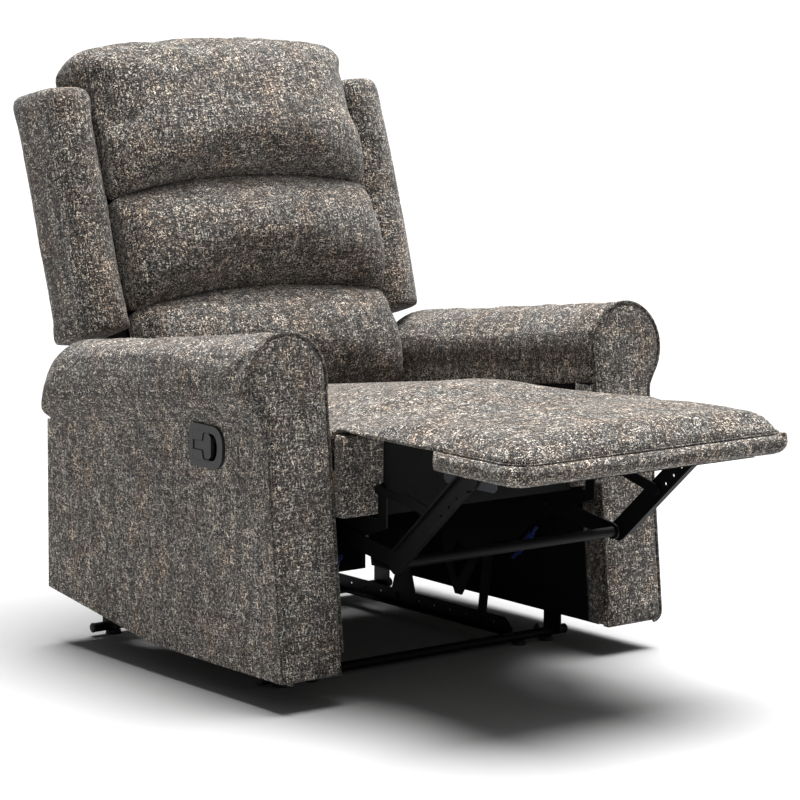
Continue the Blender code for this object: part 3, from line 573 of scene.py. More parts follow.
def tier(name, bottom, top, bottom_drop, top_drop, face, edge_fall):
    """One tier of the back. face: how far its fullest line stands out. edge_fall: less at the ends."""
    rings = []
    for s in ACROSS:
        share = abs(s)
        fall = edge_fall * share ** 4 + 0.020 * max(0.0, (share - 0.90) / 0.10) ** 2.4
        low = bottom - bottom_drop * share ** 2.2
        high = top - top_drop * share ** 2.2
        inset = 0.004 * max(0.0, (share - 0.93) / 0.07) ** 2
        ring = []
        for t in eased(19):
            fullness = sin(pi * min(1.0, t ** 0.90)) ** 0.40
            out = CREASE + (face + fall - CREASE) * fullness
            ring.append(on_back(s * TIER_HALF, out, low + inset + (high - low - 2 * inset) * t))
        for t in steps(4, 0.97, 0.03):
            ring.append(on_back(s * TIER_HALF, -0.005, low + (high - low) * t))
        rings.append(ring)
    return loft(name, rings)


def on_frame(point):
    """Held where the tier rests on the webbing, free at its front."""
    w = (point - HINGE).dot(THROUGH)
    return clamp((w + 0.040) / 0.02)


lumbar_low, lumbar_high = back_box("lumbar_cushion")
middle_low, middle_high = back_box("middle_cushion")
head_low, head_high = back_box("head_cushion")
wing_low, wing_high = back_box("wing_left")
FACE = middle_low.y + 0.010
TIER_HALF = wing_low.x - 0.0005
lumbar = tier("lumbar_pad", lumbar_low.z - 0.004, lumbar_high.z + 0.003, 0.0, SEAM_DROP["first"],
              FACE + 0.003, 0.014)
middle = tier("middle_pad", middle_low.z - 0.001, middle_high.z + 0.003, SEAM_DROP["first"],
              SEAM_DROP["second"], FACE, 0.016)


def head_outline(share):
    """Side view of the head tier: out over the seam, back over the top and down behind."""
    low = head_low.z - 0.001 - SEAM_DROP["second"] * share ** 2.2
    end = max(0.0, (share - 0.90) / 0.10)
    top = head_high.z + 0.001 - SEAM_DROP["top"] * share ** 2.6 - 0.012 * end ** 2
    fall = 0.030 * share ** 4 + 0.014 * end ** 2
    rear = head_high.y + 0.004 - 0.006 * end ** 2
    return [(CREASE, low), (-0.072 + fall, low + 0.004), (FACE - 0.001 + fall, low + 0.030),
            (FACE - 0.004 + fall, low + 0.080), (-0.084 + fall, low + 0.130),
            (-0.068 + fall * 0.9, top - 0.036), (-0.040 + fall * 0.6, top - 0.010), (0.000, top),
            (rear - 0.034, top - 0.003), (rear - 0.011, top - 0.014), (rear, top - 0.036),
            (rear - 0.001, 0.594), (rear - 0.04, 0.590), (-0.003, 0.590), (-0.005, 0.50),
            (-0.005, low + 0.016)]


HEAD_GROWTH = 0.010     # how much wider the head tier is above the wings
rings = []
for s in ACROSS:
    share = abs(s)
    ring = []
    for w, u in through(head_outline(share), 72):
        grow = HEAD_GROWTH * clamp((u - 0.585) / 0.02)
        ring.append(on_back(s * (TIER_HALF + grow), w, u))
    rings.append(ring)
head = loft("head_pad", rings)


def on_head(point):
    """The head tier is also free where it rolls over the top, and held behind."""
    w, u = (point - HINGE).dot(THROUGH), (point - HINGE).dot(ALONG)
    return max(on_frame(point) if u < 0.58 else 0.0, 1.0 if w > 0.05 else 0.0)


for piece, node, held, cap in ((lumbar, "lumbar_cushion", on_frame, 0.016),
                               (middle, "middle_cushion", on_frame, 0.016),
                               (head, "head_cushion", on_head, 0.014)):
    stuff(piece, held, cap=cap)
    settle(piece, "back", TWEED_BACK)
    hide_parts(node)
print("back cushions:", [len(p.data.vertices) for p in (lumbar, middle, head)])

# %% [markdown]
# Behind the tiers lies one sheet of black lining. It is painted shade: its dark edge stands for the shade
# in the grooves between the tiers, and it hides the frame behind them.

# %% Painted groove shade: a black sheet behind the tiers
# A black sheet behind the tiers: painted shade in the grooves between them.
GROOVE_SHADE_HALF, GROOVE_SHADE_FOOT, GROOVE_SHADE_TOP = 0.2495, 0.046, 0.588
groove_shade_sheet = loft("back_groove_shade", [[on_back(x * GROOVE_SHADE_HALF, w, u) for x, u in (
    (-1, GROOVE_SHADE_FOOT), (1, GROOVE_SHADE_FOOT), (1, GROOVE_SHADE_TOP), (-1, GROOVE_SHADE_TOP))] for w in (-0.0029, -0.0041)])
settle(groove_shade_sheet, "back", LINING, "black_lining", smooth=False)

# %% [markdown]
# ## Wings and the rear panel
#
# The wings are upright padded slabs beside the cushions, sewn into the back's sides, with a soft front
# edge and a slanted top. They stop just above the arms, where a dark gap shows. A flat covered panel
# closes the back between them.

# %% Wings


def wing_section(side, u, shrink):
    """Outline at one height: soft front corners, a tighter one at the rear, flat against the back."""
    inner, outer, front, rear = wing_low.x + 0.0008, wing_high.x + 0.005, wing_low.y, wing_high.y + 0.002
    middle_x, middle_w = (inner + outer) / 2, (front + rear) / 2
    knots = [(inner, rear - 0.006), (inner, 0.04), (inner + 0.001, -0.008), (inner + 0.010, front + 0.006),
             (middle_x - 0.006, front - 0.003), (outer - 0.016, front + 0.006),
             (outer - 0.003, front + 0.026), (outer, 0.03), (outer - 0.001, rear - 0.014),
             (outer - 0.012, rear - 0.002), (inner + 0.010, rear - 0.001)]
    return [on_back(side * (x + (middle_x - x) * shrink), w + (middle_w - w) * shrink, u)
            for x, w in through(knots, 44)]


WING_LEVELS = [(0.0, 0.16), (0.0015, 0.07), (0.006, 0.02), (0.014, 0.0)]
WING_LEVELS += [(v, 0.0) for v in steps(12, 0.04, 0.93)]
WING_LEVELS += [(0.955, 0.01), (0.975, 0.045), (0.988, 0.10), (0.997, 0.20), (1.0, 0.34)]
for where, side in SIDES.items():
    rings = []
    for rise, shrink in WING_LEVELS:
        ring = wing_section(side, wing_low.z + rise * (wing_high.z - wing_low.z), shrink)
        if rise > 0.8:
            slope = 0.018 * (rise - 0.8) / 0.2
            ring = [p - ALONG * slope * max(0.0, 0.6 - (p - HINGE).dot(THROUGH) * 7) for p in ring]
        rings.append(ring)
    wing = loft("wing_pad_" + where, rings)
    stuff(wing, lambda p: 1.0 if abs(p.x) < wing_low.x + 0.003 else 0.0, cap=0.005, pressure=3.0, slack=0.03)
    settle(wing, "back", TWEED_BACK)
    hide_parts("wing_" + where)
print("wings done")

# %% Rear panel
cover_low, cover_high = back_box("rear_cover")
rings = []
for w, inset in ((cover_low.y, 0.0), (cover_low.y + 0.004, 0.0), (cover_high.y - 0.006, 0.0),
                 (cover_high.y - 0.002, 0.003), (cover_high.y - 0.0005, 0.012), (cover_high.y + 0.001, 0.05)):
    x_end = cover_high.x - inset
    bottom, top = cover_low.z + inset, cover_high.z - inset
    run = steps(9, -1, 1)
    edge = [(-1, s) for s in run] + [(s, 1) for s in run[1:]] + [(1, -s) for s in run[1:]]
    edge += [(-s, -1) for s in run[1:-1]]
    rings.append([on_back(sx * x_end, w, (bottom + top) / 2 + su * (top - bottom) / 2) for sx, su in edge])
rear_panel = settle(subdivide(loft("rear_panel", rings), 1), "back", TWEED_BACK)
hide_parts("rear_cover")
for where, side in reversed(SIDES.items()):
    seam = [on_back(side * cover_high.x * 0.62, cover_high.y + 0.0004, u)
            for u in steps(30, cover_low.z + 0.02, cover_high.z - 0.02)]
    # The rear seams are drawn in the darkened tweed: painted shade along the seam.
    tube("rear_seam_" + where, seam, 0.0013, "back", SHADED_PIPING)

# %% [markdown]
# ## The long seat pad
#
# Seat and footrest share one pad, so that the legs rest on an unbroken surface when the footrest is
# out. It is widest over the seat, crowned across, lowest at the back, and has a shallow valley where
# it bends. The pad is tied to no body of the chair, so it stays where it is made.

# %% Seat pad
seat_high, foot_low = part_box("seat_cushion")[1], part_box("footrest_pad")[0]
PAD_HALF = seat_high.x - 0.001
PAD_END = foot_low.y + 0.002
PAD_BACK = seat_high.y - 0.004
deck_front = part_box("seat_side_rail_left")[0].y
DECK_SLOPE = 0.135


def pad_top(y):
    """Height of the pad's middle line: a crest behind the arm fronts, a valley at the fold."""
    crest_y = FRONT + 0.040
    behind = max(0.0, y - crest_y)
    ahead = max(0.0, crest_y - y)
    valley = 0.006 * exp(-((y - FOLD.y + 0.060) / 0.045) ** 2)
    slope = DECK_SLOPE * behind * min(1.0, behind / 0.06) + 0.062 * min(ahead, 0.14)
    return seat_high.z - 0.003 - slope - valley


def pad_crown(y):
    """How much lower the pad's edges lie than its middle: a lot between the arms, less on the footrest."""
    return 0.010 + 0.028 * clamp((y - FRONT + 0.12) / 0.14)


def pad_under(y):
    deck = 0.345 - DECK_SLOPE * (y - deck_front)
    blend_in = clamp((y - deck_front - 0.002) / 0.012)
    return (foot_low.z + 0.0105) * (1 - blend_in) + (deck + 0.002) * blend_in


def pad_half(y):
    """Half width: the front corners are rounded in plan."""
    near = max(0.0, 1.0 - (y - PAD_END) / 0.050)
    return PAD_HALF - 0.046 * (1 - sqrt(max(0.0, 1 - near ** 2.4)))


def pad_ring(y):
    half, top, under = pad_half(y), pad_top(y), pad_under(y)
    nose = max(0.0, 1.0 - (y - PAD_END) / 0.045)
    top -= (top - foot_low.z - 0.020) * (1 - sqrt(max(0.0, 1 - nose ** 2.2))) * 0.85
    crown = pad_crown(y)
    seam = max(under + 0.002, min(foot_low.z + 0.014 - 0.09 * max(0.0, y - FRONT), top - crown - 0.022))
    points = [Vector((x * (half - 0.012), y, under)) for x in steps(9, -1, 1)]
    points.append(Vector((half - 0.002, y, seam - 0.001)))
    turn = []
    for a in steps(9, 0.02, 1.0):
        angle = a * pi / 2
        turn.append((half - (0.026 + crown) * (1 - cos(angle)),
                     seam + (top - crown - seam) * sin(angle) ** 0.9))
    points += [Vector((x, y, z)) for x, z in turn]
    reach = turn[-1][0]
    for s in steps(11, 1, -1)[1:-1]:
        points.append(Vector((s * reach, y, top - crown * abs(s) ** 2.2)))
    points += [Vector((-x, y, z)) for x, z in reversed(turn)]
    points.append(Vector((-half + 0.002, y, seam - 0.001)))
    return points


stations = [PAD_END + d for d in (0.0, 0.0015, 0.005, 0.011, 0.019, 0.030, 0.045)]
stations += steps(38, PAD_END + 0.060, PAD_BACK - 0.004) + [PAD_BACK]
seat_pad = loft("seat_pad", [pad_ring(y) for y in stations])


def on_deck(point):
    side = abs(point.x) > pad_half(point.y) - 0.004 and point.z < foot_low.z + 0.016
    return 1.0 if side or point.z < pad_under(point.y) + 0.006 or point.y > PAD_BACK - 0.05 else 0.0


stuff(seat_pad, on_deck, cap=0.006, pressure=3.5)
settle(seat_pad, None, TWEED)
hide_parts("seat_cushion", "footrest_pad")
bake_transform(seat_pad)
print("seat pad:", len(seat_pad.data.vertices), "vertices")

# %% [markdown]
# ## Border of the footrest
#
# Under the pad runs a flat stuffed border: the cover of the footrest's board, stapled underneath. It
# stands a little proud all round and its front corners stick out like small ears. A cord of stitching
# marks the seam above it.

# %% Footrest border
board_low, board_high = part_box("footrest_board")
BORDER_BACK = FRONT - 0.203
BORDER_TOP = foot_low.z + 0.0145


def border_outline(grow, z, back=BORDER_BACK, ears=0.004):
    """Plan of the border at one height: straight sides and round front corners, as a closed ring."""
    half, front = PAD_HALF + 0.0065 + grow, PAD_END - 0.0065 - grow
    radius = 0.040 + grow
    ends = back - grow, back - grow - 0.006

    def corner(side, start, first):
        for k in range(first, 9):
            a = start + k * pi / 16
            reach = radius + ears * sin(k * pi / 8)
            yield Vector((side * (half - radius) + reach * cos(a), front + radius + reach * sin(a), z))

    ring = [Vector((-half + 0.004, ends[0], z))]
    ring += [Vector((-half, y, z)) for y in steps(8, ends[1], front + radius)]
    ring += corner(-1, pi, 1)
    ring += [Vector((x, front, z)) for x in steps(15, -half + radius, half - radius)[1:-1]]
    ring += corner(1, 1.5 * pi, 0)
    ring += [Vector((half, y, z)) for y in steps(8, front + radius, ends[1])[1:]]
    ring.append(Vector((half - 0.004, ends[0], z)))
    ring += [Vector((x, ends[0], z)) for x in steps(13, half - 0.02, -half + 0.02)]
    return ring


UNDER = board_low.z - 0.0012
layers = [(-0.030, BORDER_TOP - 0.001), (-0.009, BORDER_TOP), (-0.001, BORDER_TOP - 0.003),
          (0.0030, BORDER_TOP - 0.011), (0.0015, BORDER_TOP - 0.019), (-0.003, BORDER_TOP - 0.0255),
          (-0.012, UNDER), (-0.032, UNDER)]
border = subdivide(loft("footrest_border", [border_outline(g, z) for g, z in layers]), 1)
settle(border, "footrest", TWEED)
seam_line = [p for p in border_outline(-0.0085, BORDER_TOP + 0.0006, ears=0.0) if p.y < BORDER_BACK - 0.004]
# The stitching cord is drawn in the darkened tweed: painted shade along the seam.
tube("footrest_seam", seam_line, 0.0016, "footrest", SHADED_PIPING)
for where, side in SIDES.items():
    near, far, outer, inner = BORDER_BACK - 0.045, PAD_END + 0.03, PAD_HALF - 0.008, PAD_HALF - 0.028
    flap = mesh_from("footrest_flap_" + where, [(side * x, y, UNDER) for x, y in (
        (outer, near), (inner, near), (inner, far), (outer, far))], [(0, 1, 2, 3)])
    thicken(flap, 0.0025)
    settle(flap, "footrest", TWEED, smooth=False)
for where, side in SIDES.items():
    spot = Vector((side * (PAD_HALF - 0.010), PAD_END + 0.006, BORDER_TOP - 0.008))
    rings = []
    for t in steps(9):
        turn = radians(-38 + 40 * t)
        size = 0.0075 * sin(pi * (0.06 + 0.88 * t)) ** 0.6
        centre = spot + Vector((side * 0.020 * sin(turn), -0.020 * cos(turn) + 0.010, 0.004 * t))
        rings.append([centre + size * Vector((side * 0.8 * cos(a) * cos(turn), 0.8 * cos(a) * sin(turn),
                                              1.1 * sin(a))) for a in steps(13, 0, 2 * pi)[:-1]])
    settle(subdivide(loft("footrest_pleat_" + where, rings), 1), "footrest", TWEED)
print("border done")

# %% [markdown]
# ## The arms
#
# An arm is a box with a padded roll on top. One piece of tweed covers the roll and tucks in under it
# along the outer side, where it leaves a soft crease. The front is a separate shaped panel, padded a
# little, with piping all the way round its edge.

# %% Roll shape
RAKE = 0.110
ARM_FALL = 0.120
ROLL_R = 0.0695
ROLL_X = ARM_IN + 0.067
ROLL_Z = ROLL_TOP - ROLL_R
NECK_DROP = sqrt(ROLL_R ** 2 - (ARM_OUT - ROLL_X) ** 2)
NECK_ANGLE = -acos((ARM_OUT - ROLL_X) / ROLL_R)


def arm_front(z):
    return FRONT + RAKE * (z - ARM_FLOOR)


def roll_section(count=30):
    """The roll's outline as (x, z) from its middle: up the inner side, over, and softly into the outer side."""
    points = [(ARM_IN + 0.0002, -NECK_DROP + 0.001), (ARM_IN, -NECK_DROP + 0.018)]
    start, stop = pi + radians(14.5), -radians(46)
    for t in steps(count):
        a = start + (stop - start) * t
        points.append((ROLL_X + ROLL_R * cos(a), ROLL_R * sin(a)))
    leave = Vector(points[-1])
    heading = Vector((sin(stop), -cos(stop)))
    side_x = ARM_OUT + 0.0006
    bend = leave + heading * ((side_x - leave.x) / heading.x)
    foot = Vector((side_x, bend.y - 0.009))
    for t in steps(8)[1:]:
        points.append(tuple(leave * (1 - t) ** 2 + bend * 2 * t * (1 - t) + foot * t ** 2))
    points += [(ARM_OUT - 0.002, foot.y - 0.001), (ARM_OUT - 0.010, foot.y),
               (ARM_OUT - 0.012, -NECK_DROP - 0.003), (ARM_OUT - 0.030, -NECK_DROP + 0.001),
               (ARM_IN + 0.030, -NECK_DROP + 0.001)]
    return points


def fallen(y):
    return -ARM_FALL * (y - arm_front(ROLL_Z))


for where, side in SIDES.items():
    rings = []
    base_z = ROLL_Z - NECK_DROP
    for d, shrink in [(0.004, 0.05), (0.0055, 0.02)] + [
            (v, 0.0) for v in [0.010, 0.016, 0.022, 0.032] + steps(16, 0.045, REAR - FRONT - 0.100)]:
        ring = []
        upright = clamp((d - 0.28) / 0.2)
        for x, up in roll_section():
            z = ROLL_Z + up * (1 - shrink)
            y = FRONT + d + RAKE * (z - ARM_FLOOR) * (1 - upright) + 0.043 * upright
            pull = sin(150 * (up + 0.8 * d) + 2.1 * side) * exp(-((d - 0.030) / 0.022) ** 2)
            dent = 0.0016 * pull if up > -0.02 else 0.0
            ring.append(Vector((side * (ROLL_X + (x - ROLL_X) * (1 - shrink + dent * 9)), y,
                                z + dent + fallen(y))))
        rings.append(ring)
    for a in (12, 30, 48, 64, 78, 88):
        turn = radians(a)
        y = REAR - 0.062 + 0.060 * sin(turn)
        drop = 1 - cos(turn)
        ring = []
        for x, up in roll_section():
            lift = (up + NECK_DROP) * (1 - 0.72 * drop)
            ring.append(Vector((side * (ROLL_X + (x - ROLL_X) * (1 - 0.22 * drop)), y, base_z + lift + fallen(y))))
        rings.append(ring)
    roll = loft("arm_roll_pad_" + where, rings)
    stuff(roll, lambda p: 1.0 if p.z < ROLL_Z + fallen(p.y) - 0.048 or p.y < arm_front(p.z) + 0.008
          or abs(p.x) < ARM_IN + 0.0025 else 0.0, cap=0.0035, pressure=2.5, slack=0.035, voxel=0.0045)
    settle(roll, "base", TWEED)
    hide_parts("arm_roll_" + where)
print("rolls done")

# %% [markdown]
# The box under the roll keeps the frame's shape. It is copied, its edges are rounded as padding over
# plywood rounds them, and strips of the same tweed wrap round to the inner side behind the front.

# %% Arm boxes
HEM_COLUMNS, HEM_ROWS = 60, 7
for where, side in SIDES.items():
    source = frame["nodes"]["arm_shell_" + where]
    cover = new_object("arm_cover_" + where, source.data.copy())
    round_edges(cover, 0.0075, 4, 35)
    settle(cover, "base", TWEED, smooth=False)
    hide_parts("arm_shell_" + where)
    rings = [[(side * (ARM_IN + reach), arm_front(z) + behind, z) for reach, behind in (
        (-0.0012, 0.003), (-0.0021, 0.014), (-0.0020, 0.041), (0.0002, 0.047), (0.0006, 0.003))]
        for z in steps(16, ARM_FLOOR + 0.003, ROLL_Z - NECK_DROP - 0.002)]
    settle(loft("arm_return_" + where, rings), "base", TWEED)
    panel_low, panel_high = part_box("arm_inner_panel_" + where)
    inner_x = min(abs(panel_low.x), abs(panel_high.x))
    points = []
    for y in steps(HEM_COLUMNS, panel_low.y + 0.012, panel_high.y - 0.004):
        billow = noise.noise(Vector((y * 9, 2.0 * side, 0.0)))
        for t in steps(HEM_ROWS):
            points.append((side * (inner_x + 0.0006 + 0.004 * t * t * (1 + billow)), y,
                           panel_low.z + 0.0015 - t * (panel_low.z - ARM_FLOOR + 0.0015 + 0.002 * billow)))
    faces = [(k, k + 1, k + HEM_ROWS + 1, k + HEM_ROWS) for column in range(HEM_COLUMNS - 1)
             for k in range(column * HEM_ROWS, (column + 1) * HEM_ROWS - 1)]
    hem = mesh_from("arm_hem_" + where, points, faces)
    thicken(hem)
    settle(hem, "base", LINING, "black_lining")
print("arm boxes done")

# %% Front panels and their piping


def front_outline():
    """The arm's front seen from the front: floor corner, outer side, neck, roll and inner side."""
    corner = 0.016
    points = [(ARM_IN + 0.010, ARM_FLOOR + 0.001)]
    points += [(x, ARM_FLOOR) for x in steps(4, ARM_IN + 0.026, ARM_OUT - corner)]
    points += [(ARM_OUT - corner + corner * sin(a), ARM_FLOOR + corner - corner * cos(a))
               for a in steps(5, 0.0, pi / 2)[1:]]
    neck_z = ROLL_Z - NECK_DROP
    points += [(ARM_OUT, z) for z in steps(14, ARM_FLOOR + 0.04, neck_z - 0.016)]
    points += [(ARM_OUT + 0.0015, neck_z - 0.006), (ARM_OUT + 0.006, neck_z + 0.002)]
    for t in steps(26, 0.06, 1.0):
        a = NECK_ANGLE + (pi - NECK_ANGLE) * t
        points.append((ROLL_X + ROLL_R * cos(a), ROLL_Z + ROLL_R * sin(a)))
    points += [(ARM_IN - 0.0002, z) for z in steps(20, ROLL_Z - 0.02, ARM_FLOOR + 0.012)]
    return points


def inward(outline, distance):
    """The same outline moved in by a distance, corner by corner."""
    count = len(outline)
    moved = []
    for k, (x, z) in enumerate(outline):
        before, after = Vector(outline[k - 1]), Vector(outline[(k + 1) % count])
        run = (after - before).normalized()
        moved.append((x - run.y * distance, z + run.x * distance))
    return moved


outline = front_outline()
for where, side in SIDES.items():
    rings = []
    for distance, out in ((0.0, 0.010), (-0.0004, 0.0), (0.0015, -0.0030), (0.006, -0.0048), (0.014, -0.0060),
                          (0.026, -0.0066)):
        rings.append([Vector((side * x, arm_front(z) + out, z)) for x, z in inward(outline, distance)])
    panel = subdivide(loft("arm_front_" + where, rings), 1)
    settle(panel, "base", TWEED)
    cord = [Vector((side * x, arm_front(z) - 0.0030, z)) for x, z in inward(outline, -0.0004)]
    # The piping cord is drawn in the darkened tweed: painted shade along the panel's edge.
    tube("arm_piping_" + where, cord[4:-1], 0.0028, "base", SHADED_PIPING, sides=3)
print("front panels done")

# %% [markdown]
# ## Under the seat
#
# The front rail is covered only at its two ends; between them hangs dark cloth. A thin black dust
# cloth closes the seat from below, the footrest board is covered in the same cloth, and its brackets
# hang clear of it.

# %% Front rail, dust cloths
rail_low, rail_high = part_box("seat_front_rail")
END_INNER, END_RADIUS = 0.186, 0.007
for where, side in SIDES.items():
    floor, roof = rail_low.z, rail_high.z - 0.002
    rings = []
    for z, inset in ((floor, 0.006), (floor + 0.0015, 0.002), (floor + 0.006, 0.0), (roof - 0.006, 0.0),
                     (roof - 0.0015, 0.002), (roof, 0.006)):
        x0, x1 = END_INNER + inset + END_RADIUS, rail_high.x - 0.0022 - inset * 0.4 - END_RADIUS
        y0, y1 = rail_low.y - 0.0035 + inset + END_RADIUS, rail_high.y - END_RADIUS
        rings.append([Vector((side * (x + END_RADIUS * cos(radians(start + a))),
                              y + END_RADIUS * sin(radians(start + a)), z))
                      for x, y, start in ((x0, y1, 90), (x0, y0, 180), (x1, y0, 270), (x1, y1, 0))
                      for a in (0, 30, 60, 90)])
    block = loft("rail_end_" + where, rings)
    settle(block, "seat", TWEED)
    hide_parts("seat_front_rail")


def hanging_cloth(name, low, high, body, cells=(18, 8), sag=0.003, material=DUST_CLOTH, seed=3.0):
    """A thin cloth stretched between two edges, each (half width, y, z), with soft ripples."""
    (a, b), (c, d) = [[Vector((side * x, y, z)) for side in (-1, 1)] for x, y, z in (low, high)]
    columns, rows = cells
    normal = (b - a).normalized().cross((c - a).normalized()).normalized()
    points = []
    for j in range(rows + 1):
        for i in range(columns + 1):
            s, t = i / columns, j / rows
            free = sin(pi * s) ** 0.5 * sin(pi * t) ** 0.5
            ripple = sag * free * (1 + noise.noise(Vector((s * 6, t * 4, seed))) * 1.6)
            points.append(a.lerp(b, s).lerp(c.lerp(d, s), t) + normal * ripple)
    corners = [j * (columns + 1) + i for j in range(rows) for i in range(columns)]
    cloth = mesh_from(name, points, [(k, k + 1, k + columns + 2, k + columns + 1) for k in corners])
    thicken(cloth)
    settle(cloth, body, material, slot="black_lining")
    return cloth


rail_roof = rail_high.z - 0.003
rail_cloth = hanging_cloth("rail_cloth", (0.187, rail_low.y + 0.006, rail_low.z - 0.004),
                           (0.187, rail_low.y + 0.004, rail_roof), "seat")
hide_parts("seat_front_rail")
rail_board = loft("rail_board", [[(x, y, z) for x, y in (
    (-0.1855, rail_low.y + 0.0095), (0.1855, rail_low.y + 0.0095), (0.1855, rail_high.y),
    (-0.1855, rail_high.y))] for z in (rail_low.z, rail_roof)])
round_edges(rail_board, 0.0012)
settle(rail_board, "seat", TIMBER, "timber", smooth=False)
board_face = board_low.z - 0.0022
hanging_cloth("footrest_cloth", (0.206, board_low.y + 0.004, board_face),
              (0.206, board_high.y - 0.002, board_face), "footrest", sag=-0.0012, seed=8.0)
back_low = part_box("seat_rear_rail")[0]
hanging_cloth("seat_dust_cloth", (0.196, rail_high.y + 0.002, rail_low.z - 0.003),
              (0.190, back_low.y - 0.003, back_low.z + 0.004), "seat", cells=(20, 20),
              sag=-0.006, seed=5.0)
hanging_cloth("rear_valance", (0.2635, REAR - 0.0055, 0.040), (0.2635, REAR - 0.0055, 0.235), "base",
              cells=(40, 12), sag=-0.0018, material=LINING, seed=11.0)
print("cloths done")

# %% [markdown]
# ## Handle face
#
# The release handle sits flush in its cup: a moulded face fills the opening and leaves a thin gap round
# the T-shaped lever and a finger hollow in front of it.

# %% Handle face
lever_low, lever_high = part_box("release_lever")
bezel_low, bezel_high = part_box("handle_bezel")
mid_y, mid_z = (bezel_low.y + bezel_high.y) / 2, (bezel_low.z + bezel_high.z) / 2
opening_y, opening_z = 0.0328, 0.0228
edge = []
for corner, (sy, sz) in enumerate(((1, 1), (-1, 1), (-1, -1), (1, -1))):
    radius = 0.006 if sy > 0 else 0.0155
    for k in range(7):
        a = corner * pi / 2 + k * pi / 12
        edge.append((mid_y + sy * (opening_y - radius) + radius * cos(a),
                     mid_z + sz * (opening_z - radius) + radius * sin(a)))
neck_y, paddle, hollow_y = lever_high.y - 0.0225, (lever_high.z - lever_low.z) / 2 + 0.0008, lever_low.y - 0.004
gap = [(lever_high.y + 0.0007, -0.0073), (neck_y + 0.0008, -0.0073), (neck_y - 0.0011, -paddle + 0.0030),
       (neck_y - 0.0045, -paddle), (hollow_y, -paddle)]
gap += [(hollow_y - 0.0140 * cos(a), -paddle * sin(a)) for a in steps(9, pi / 2, 0)[1:]]
gap += [(y, -z) for y, z in reversed(gap[:-1])]
gap = [(y, mid_z + z) for y, z in gap]
corners = edge + gap
flat = geometry.tessellate_polygon([[Vector((y, z, 0)) for y, z in line] for line in (edge, reversed(gap))])
order = list(range(len(edge))) + [len(edge) + len(gap) - 1 - k for k in range(len(gap))]
flat = [tuple(order[k] for k in face) for face in flat]
count = len(corners)
points = [(x, y, z) for x in (bezel_low.x + 0.0001, bezel_low.x + 0.0026) for y, z in corners]
faces = flat + [tuple(count + k for k in reversed(face)) for face in flat]
for first, total in ((0, len(edge)), (len(edge), len(gap))):
    faces += [(first + k, first + (k + 1) % total, count + first + (k + 1) % total, count + first + k)
              for k in range(total)]
face_plate = mesh_from("handle_face", points, faces)
settle(face_plate, "base", PLASTIC, "black_plastic", smooth=False)
print("handle face:", len(faces), "faces")

# %% [markdown]
# ## Small hardware
#
# Domed rivets hold the links together, plastic caps close the cross tubes, and a bolt with its nut
# stands on each tube where the rail is fastened. Two short extra feet sit under the front tube.

# %% Rivets, caps, bolts and feet


def turned(name, profile, place, axis, body, material, slot):
    """A turned part: (radius, height) pairs spun about an axis."""
    frame_of = Vector(axis).to_track_quat("Z", "Y").to_matrix()
    piece = loft(name, [[Vector(place) + frame_of @ Vector((r * cos(k * pi / 10), r * sin(k * pi / 10), h))
                         for k in range(20)] for r, h in profile])
    round_edges(piece, 0.0003, 1, 50)
    return settle(piece, body, material, slot)


RIVET = [(0.0052, 0.0), (0.0052, 0.0008), (0.0044, 0.0021), (0.0024, 0.0029), (0.0004, 0.0031)]
CAP = [(0.0079, -0.0004), (0.0079, 0.0018), (0.0066, 0.0030), (0.0030, 0.0034)]
BOLT = [(0.0042, 0.0), (0.0042, 0.0034), (0.0022, 0.0035), (0.0022, 0.0078), (0.0008, 0.0084)]
GLIDE = [(0.0110, 0.0), (0.0118, 0.0008), (0.0112, 0.0040), (0.0085, 0.0068), (0.0060, 0.0074)]
pivots = {joint["name"]: Vector(joint["pos_m"]) for joint in frame["joints"] if "pos_m" in joint}
plate_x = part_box("seat_plate_left")[0].x - 0.0028
for where, side in SIDES.items():
    link_x = min(abs(corner.x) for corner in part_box("main_link_" + where))
    for link, motion, body, x in (("main_link", "_fold", "footrest", link_x),
                                  ("drive_arm", "_swing", "seat", plate_x),
                                  ("hook_link", "_swing", "seat", plate_x)):
        spot = pivots[link + motion]
        turned(link + "_rivet_" + where, RIVET, (side * x, spot.y, spot.z), (-side, 0, 0), body,
               BLACK_STEEL, "black_steel")
    for end in ("front", "rear"):
        y = sum(corner.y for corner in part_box("foot_%s_left" % end)) / 2
        turned("tube_cap_%s_%s" % (end, where), CAP, (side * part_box(end + "_cross_tube")[1].x, y, 0.0135),
               (side, 0, 0), "base", RUBBER, "black_plastic")
        if end == "front":
            turned("tube_bolt_" + where, BOLT, (side * 0.2450, y, 0.0208), (0, 0, 1), "base",
                   BLACK_STEEL, "black_steel")
            turned("tube_foot_" + where, GLIDE, (side * 0.2080, y, 0.0001), (0, 0, 1), "base",
                   RUBBER, "black_plastic")
print("hardware done")

# %% [markdown]
# ## Daylight and floor
#
# The chair stands on an endless pale floor under broad soft light from above, a little to its left,
# so that the cushions' tops are brightest, their faces darker, and the mechanism sinks into shade. The
# floor goes on past the horizon and is bright enough to leave nothing but white.

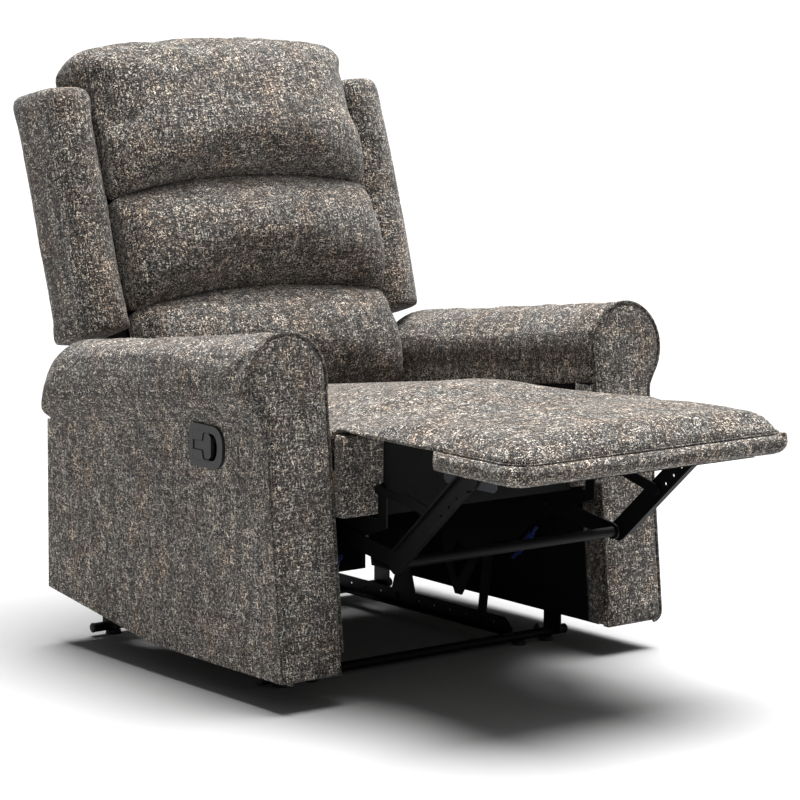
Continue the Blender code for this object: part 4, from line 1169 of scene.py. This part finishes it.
# %% Floor
floor_paint = Finish("studio_floor", roughness=0.95, Specular_IOR_Level=0.0)
floor_place = floor_paint.place()
speck = floor_paint.grain(floor_place, 9.0, 3.0)
floor_paint.colour(speck * 0.3, (0.42, 0.42, 0.42), (0.41, 0.41, 0.412))
floor_paint.bump(floor_paint.grain(floor_place, 240.0, 2.0), 0.0002, 0.2)
REACH = 600.0
ground = mesh_from("ground", [(x * REACH, y * REACH, -0.0004) for x, y in ((-1, -1), (1, -1), (1, 1), (-1, 1))],
                   [(0, 1, 2, 3)])
settle(ground, None, floor_paint.material, slot=None, smooth=False)

# %% Lights


def lamp(name, kind, energy, place, target, **settings):
    light = bpy.data.lights.new(name, kind)
    light.energy = energy
    for label, value in settings.items():
        setattr(light, label, value)
    holder = new_object(name, light)
    holder.location = place
    holder.rotation_euler = (Vector(target) - Vector(place)).to_track_quat("-Z", "Y").to_euler()


lamp("overhead", "SUN", 8.5, (0.95, 0.45, 5.2), (0, 0, 0.4), angle=radians(46))
lamp("softbox", "AREA", 15.0, (0.45, -0.75, 2.3), (0.1, -0.35, 0.44), shape="RECTANGLE", size=1.2, size_y=1.2)
world = bpy.data.worlds.new("room")
scene.world = world
world.use_nodes = True
sky = world.node_tree.nodes["Background"].inputs
sky["Color"].default_value, sky["Strength"].default_value = (1.0, 1.0, 1.0, 1.0), 0.16
scene.view_settings.view_transform = "Standard"
scene.view_settings.look = "None"
scene.view_settings.exposure = 0.0
print("lights set")

# %% Camera
AZIMUTH, PITCH, ROLL = radians(-38.82), radians(8.51), radians(0.49)
forward = Vector((-sin(AZIMUTH) * cos(PITCH), cos(AZIMUTH) * cos(PITCH), -sin(PITCH)))
level = forward.cross(Vector((0, 0, 1))).normalized()
raised = level.cross(forward)
right = level * cos(ROLL) + raised * sin(ROLL)
upward = raised * cos(ROLL) - level * sin(ROLL)
lens = bpy.data.cameras.new("camera")
lens.lens, lens.sensor_width = 142.8, 36.0
lens.clip_end = 2000.0
camera = new_object("camera", lens)
turn = Matrix((right, upward, -forward)).transposed().to_4x4()
camera.matrix_world = Matrix.Translation((-3.049, -3.796, 1.134)) @ turn
scene.camera = camera

# %% [markdown]
# ## Bringing the scene up to date
#
# Padding may swell a few millimetres past the solid it covers. Here the scene is only brought up to
# date.

# %% Update
bpy.context.view_layer.update()
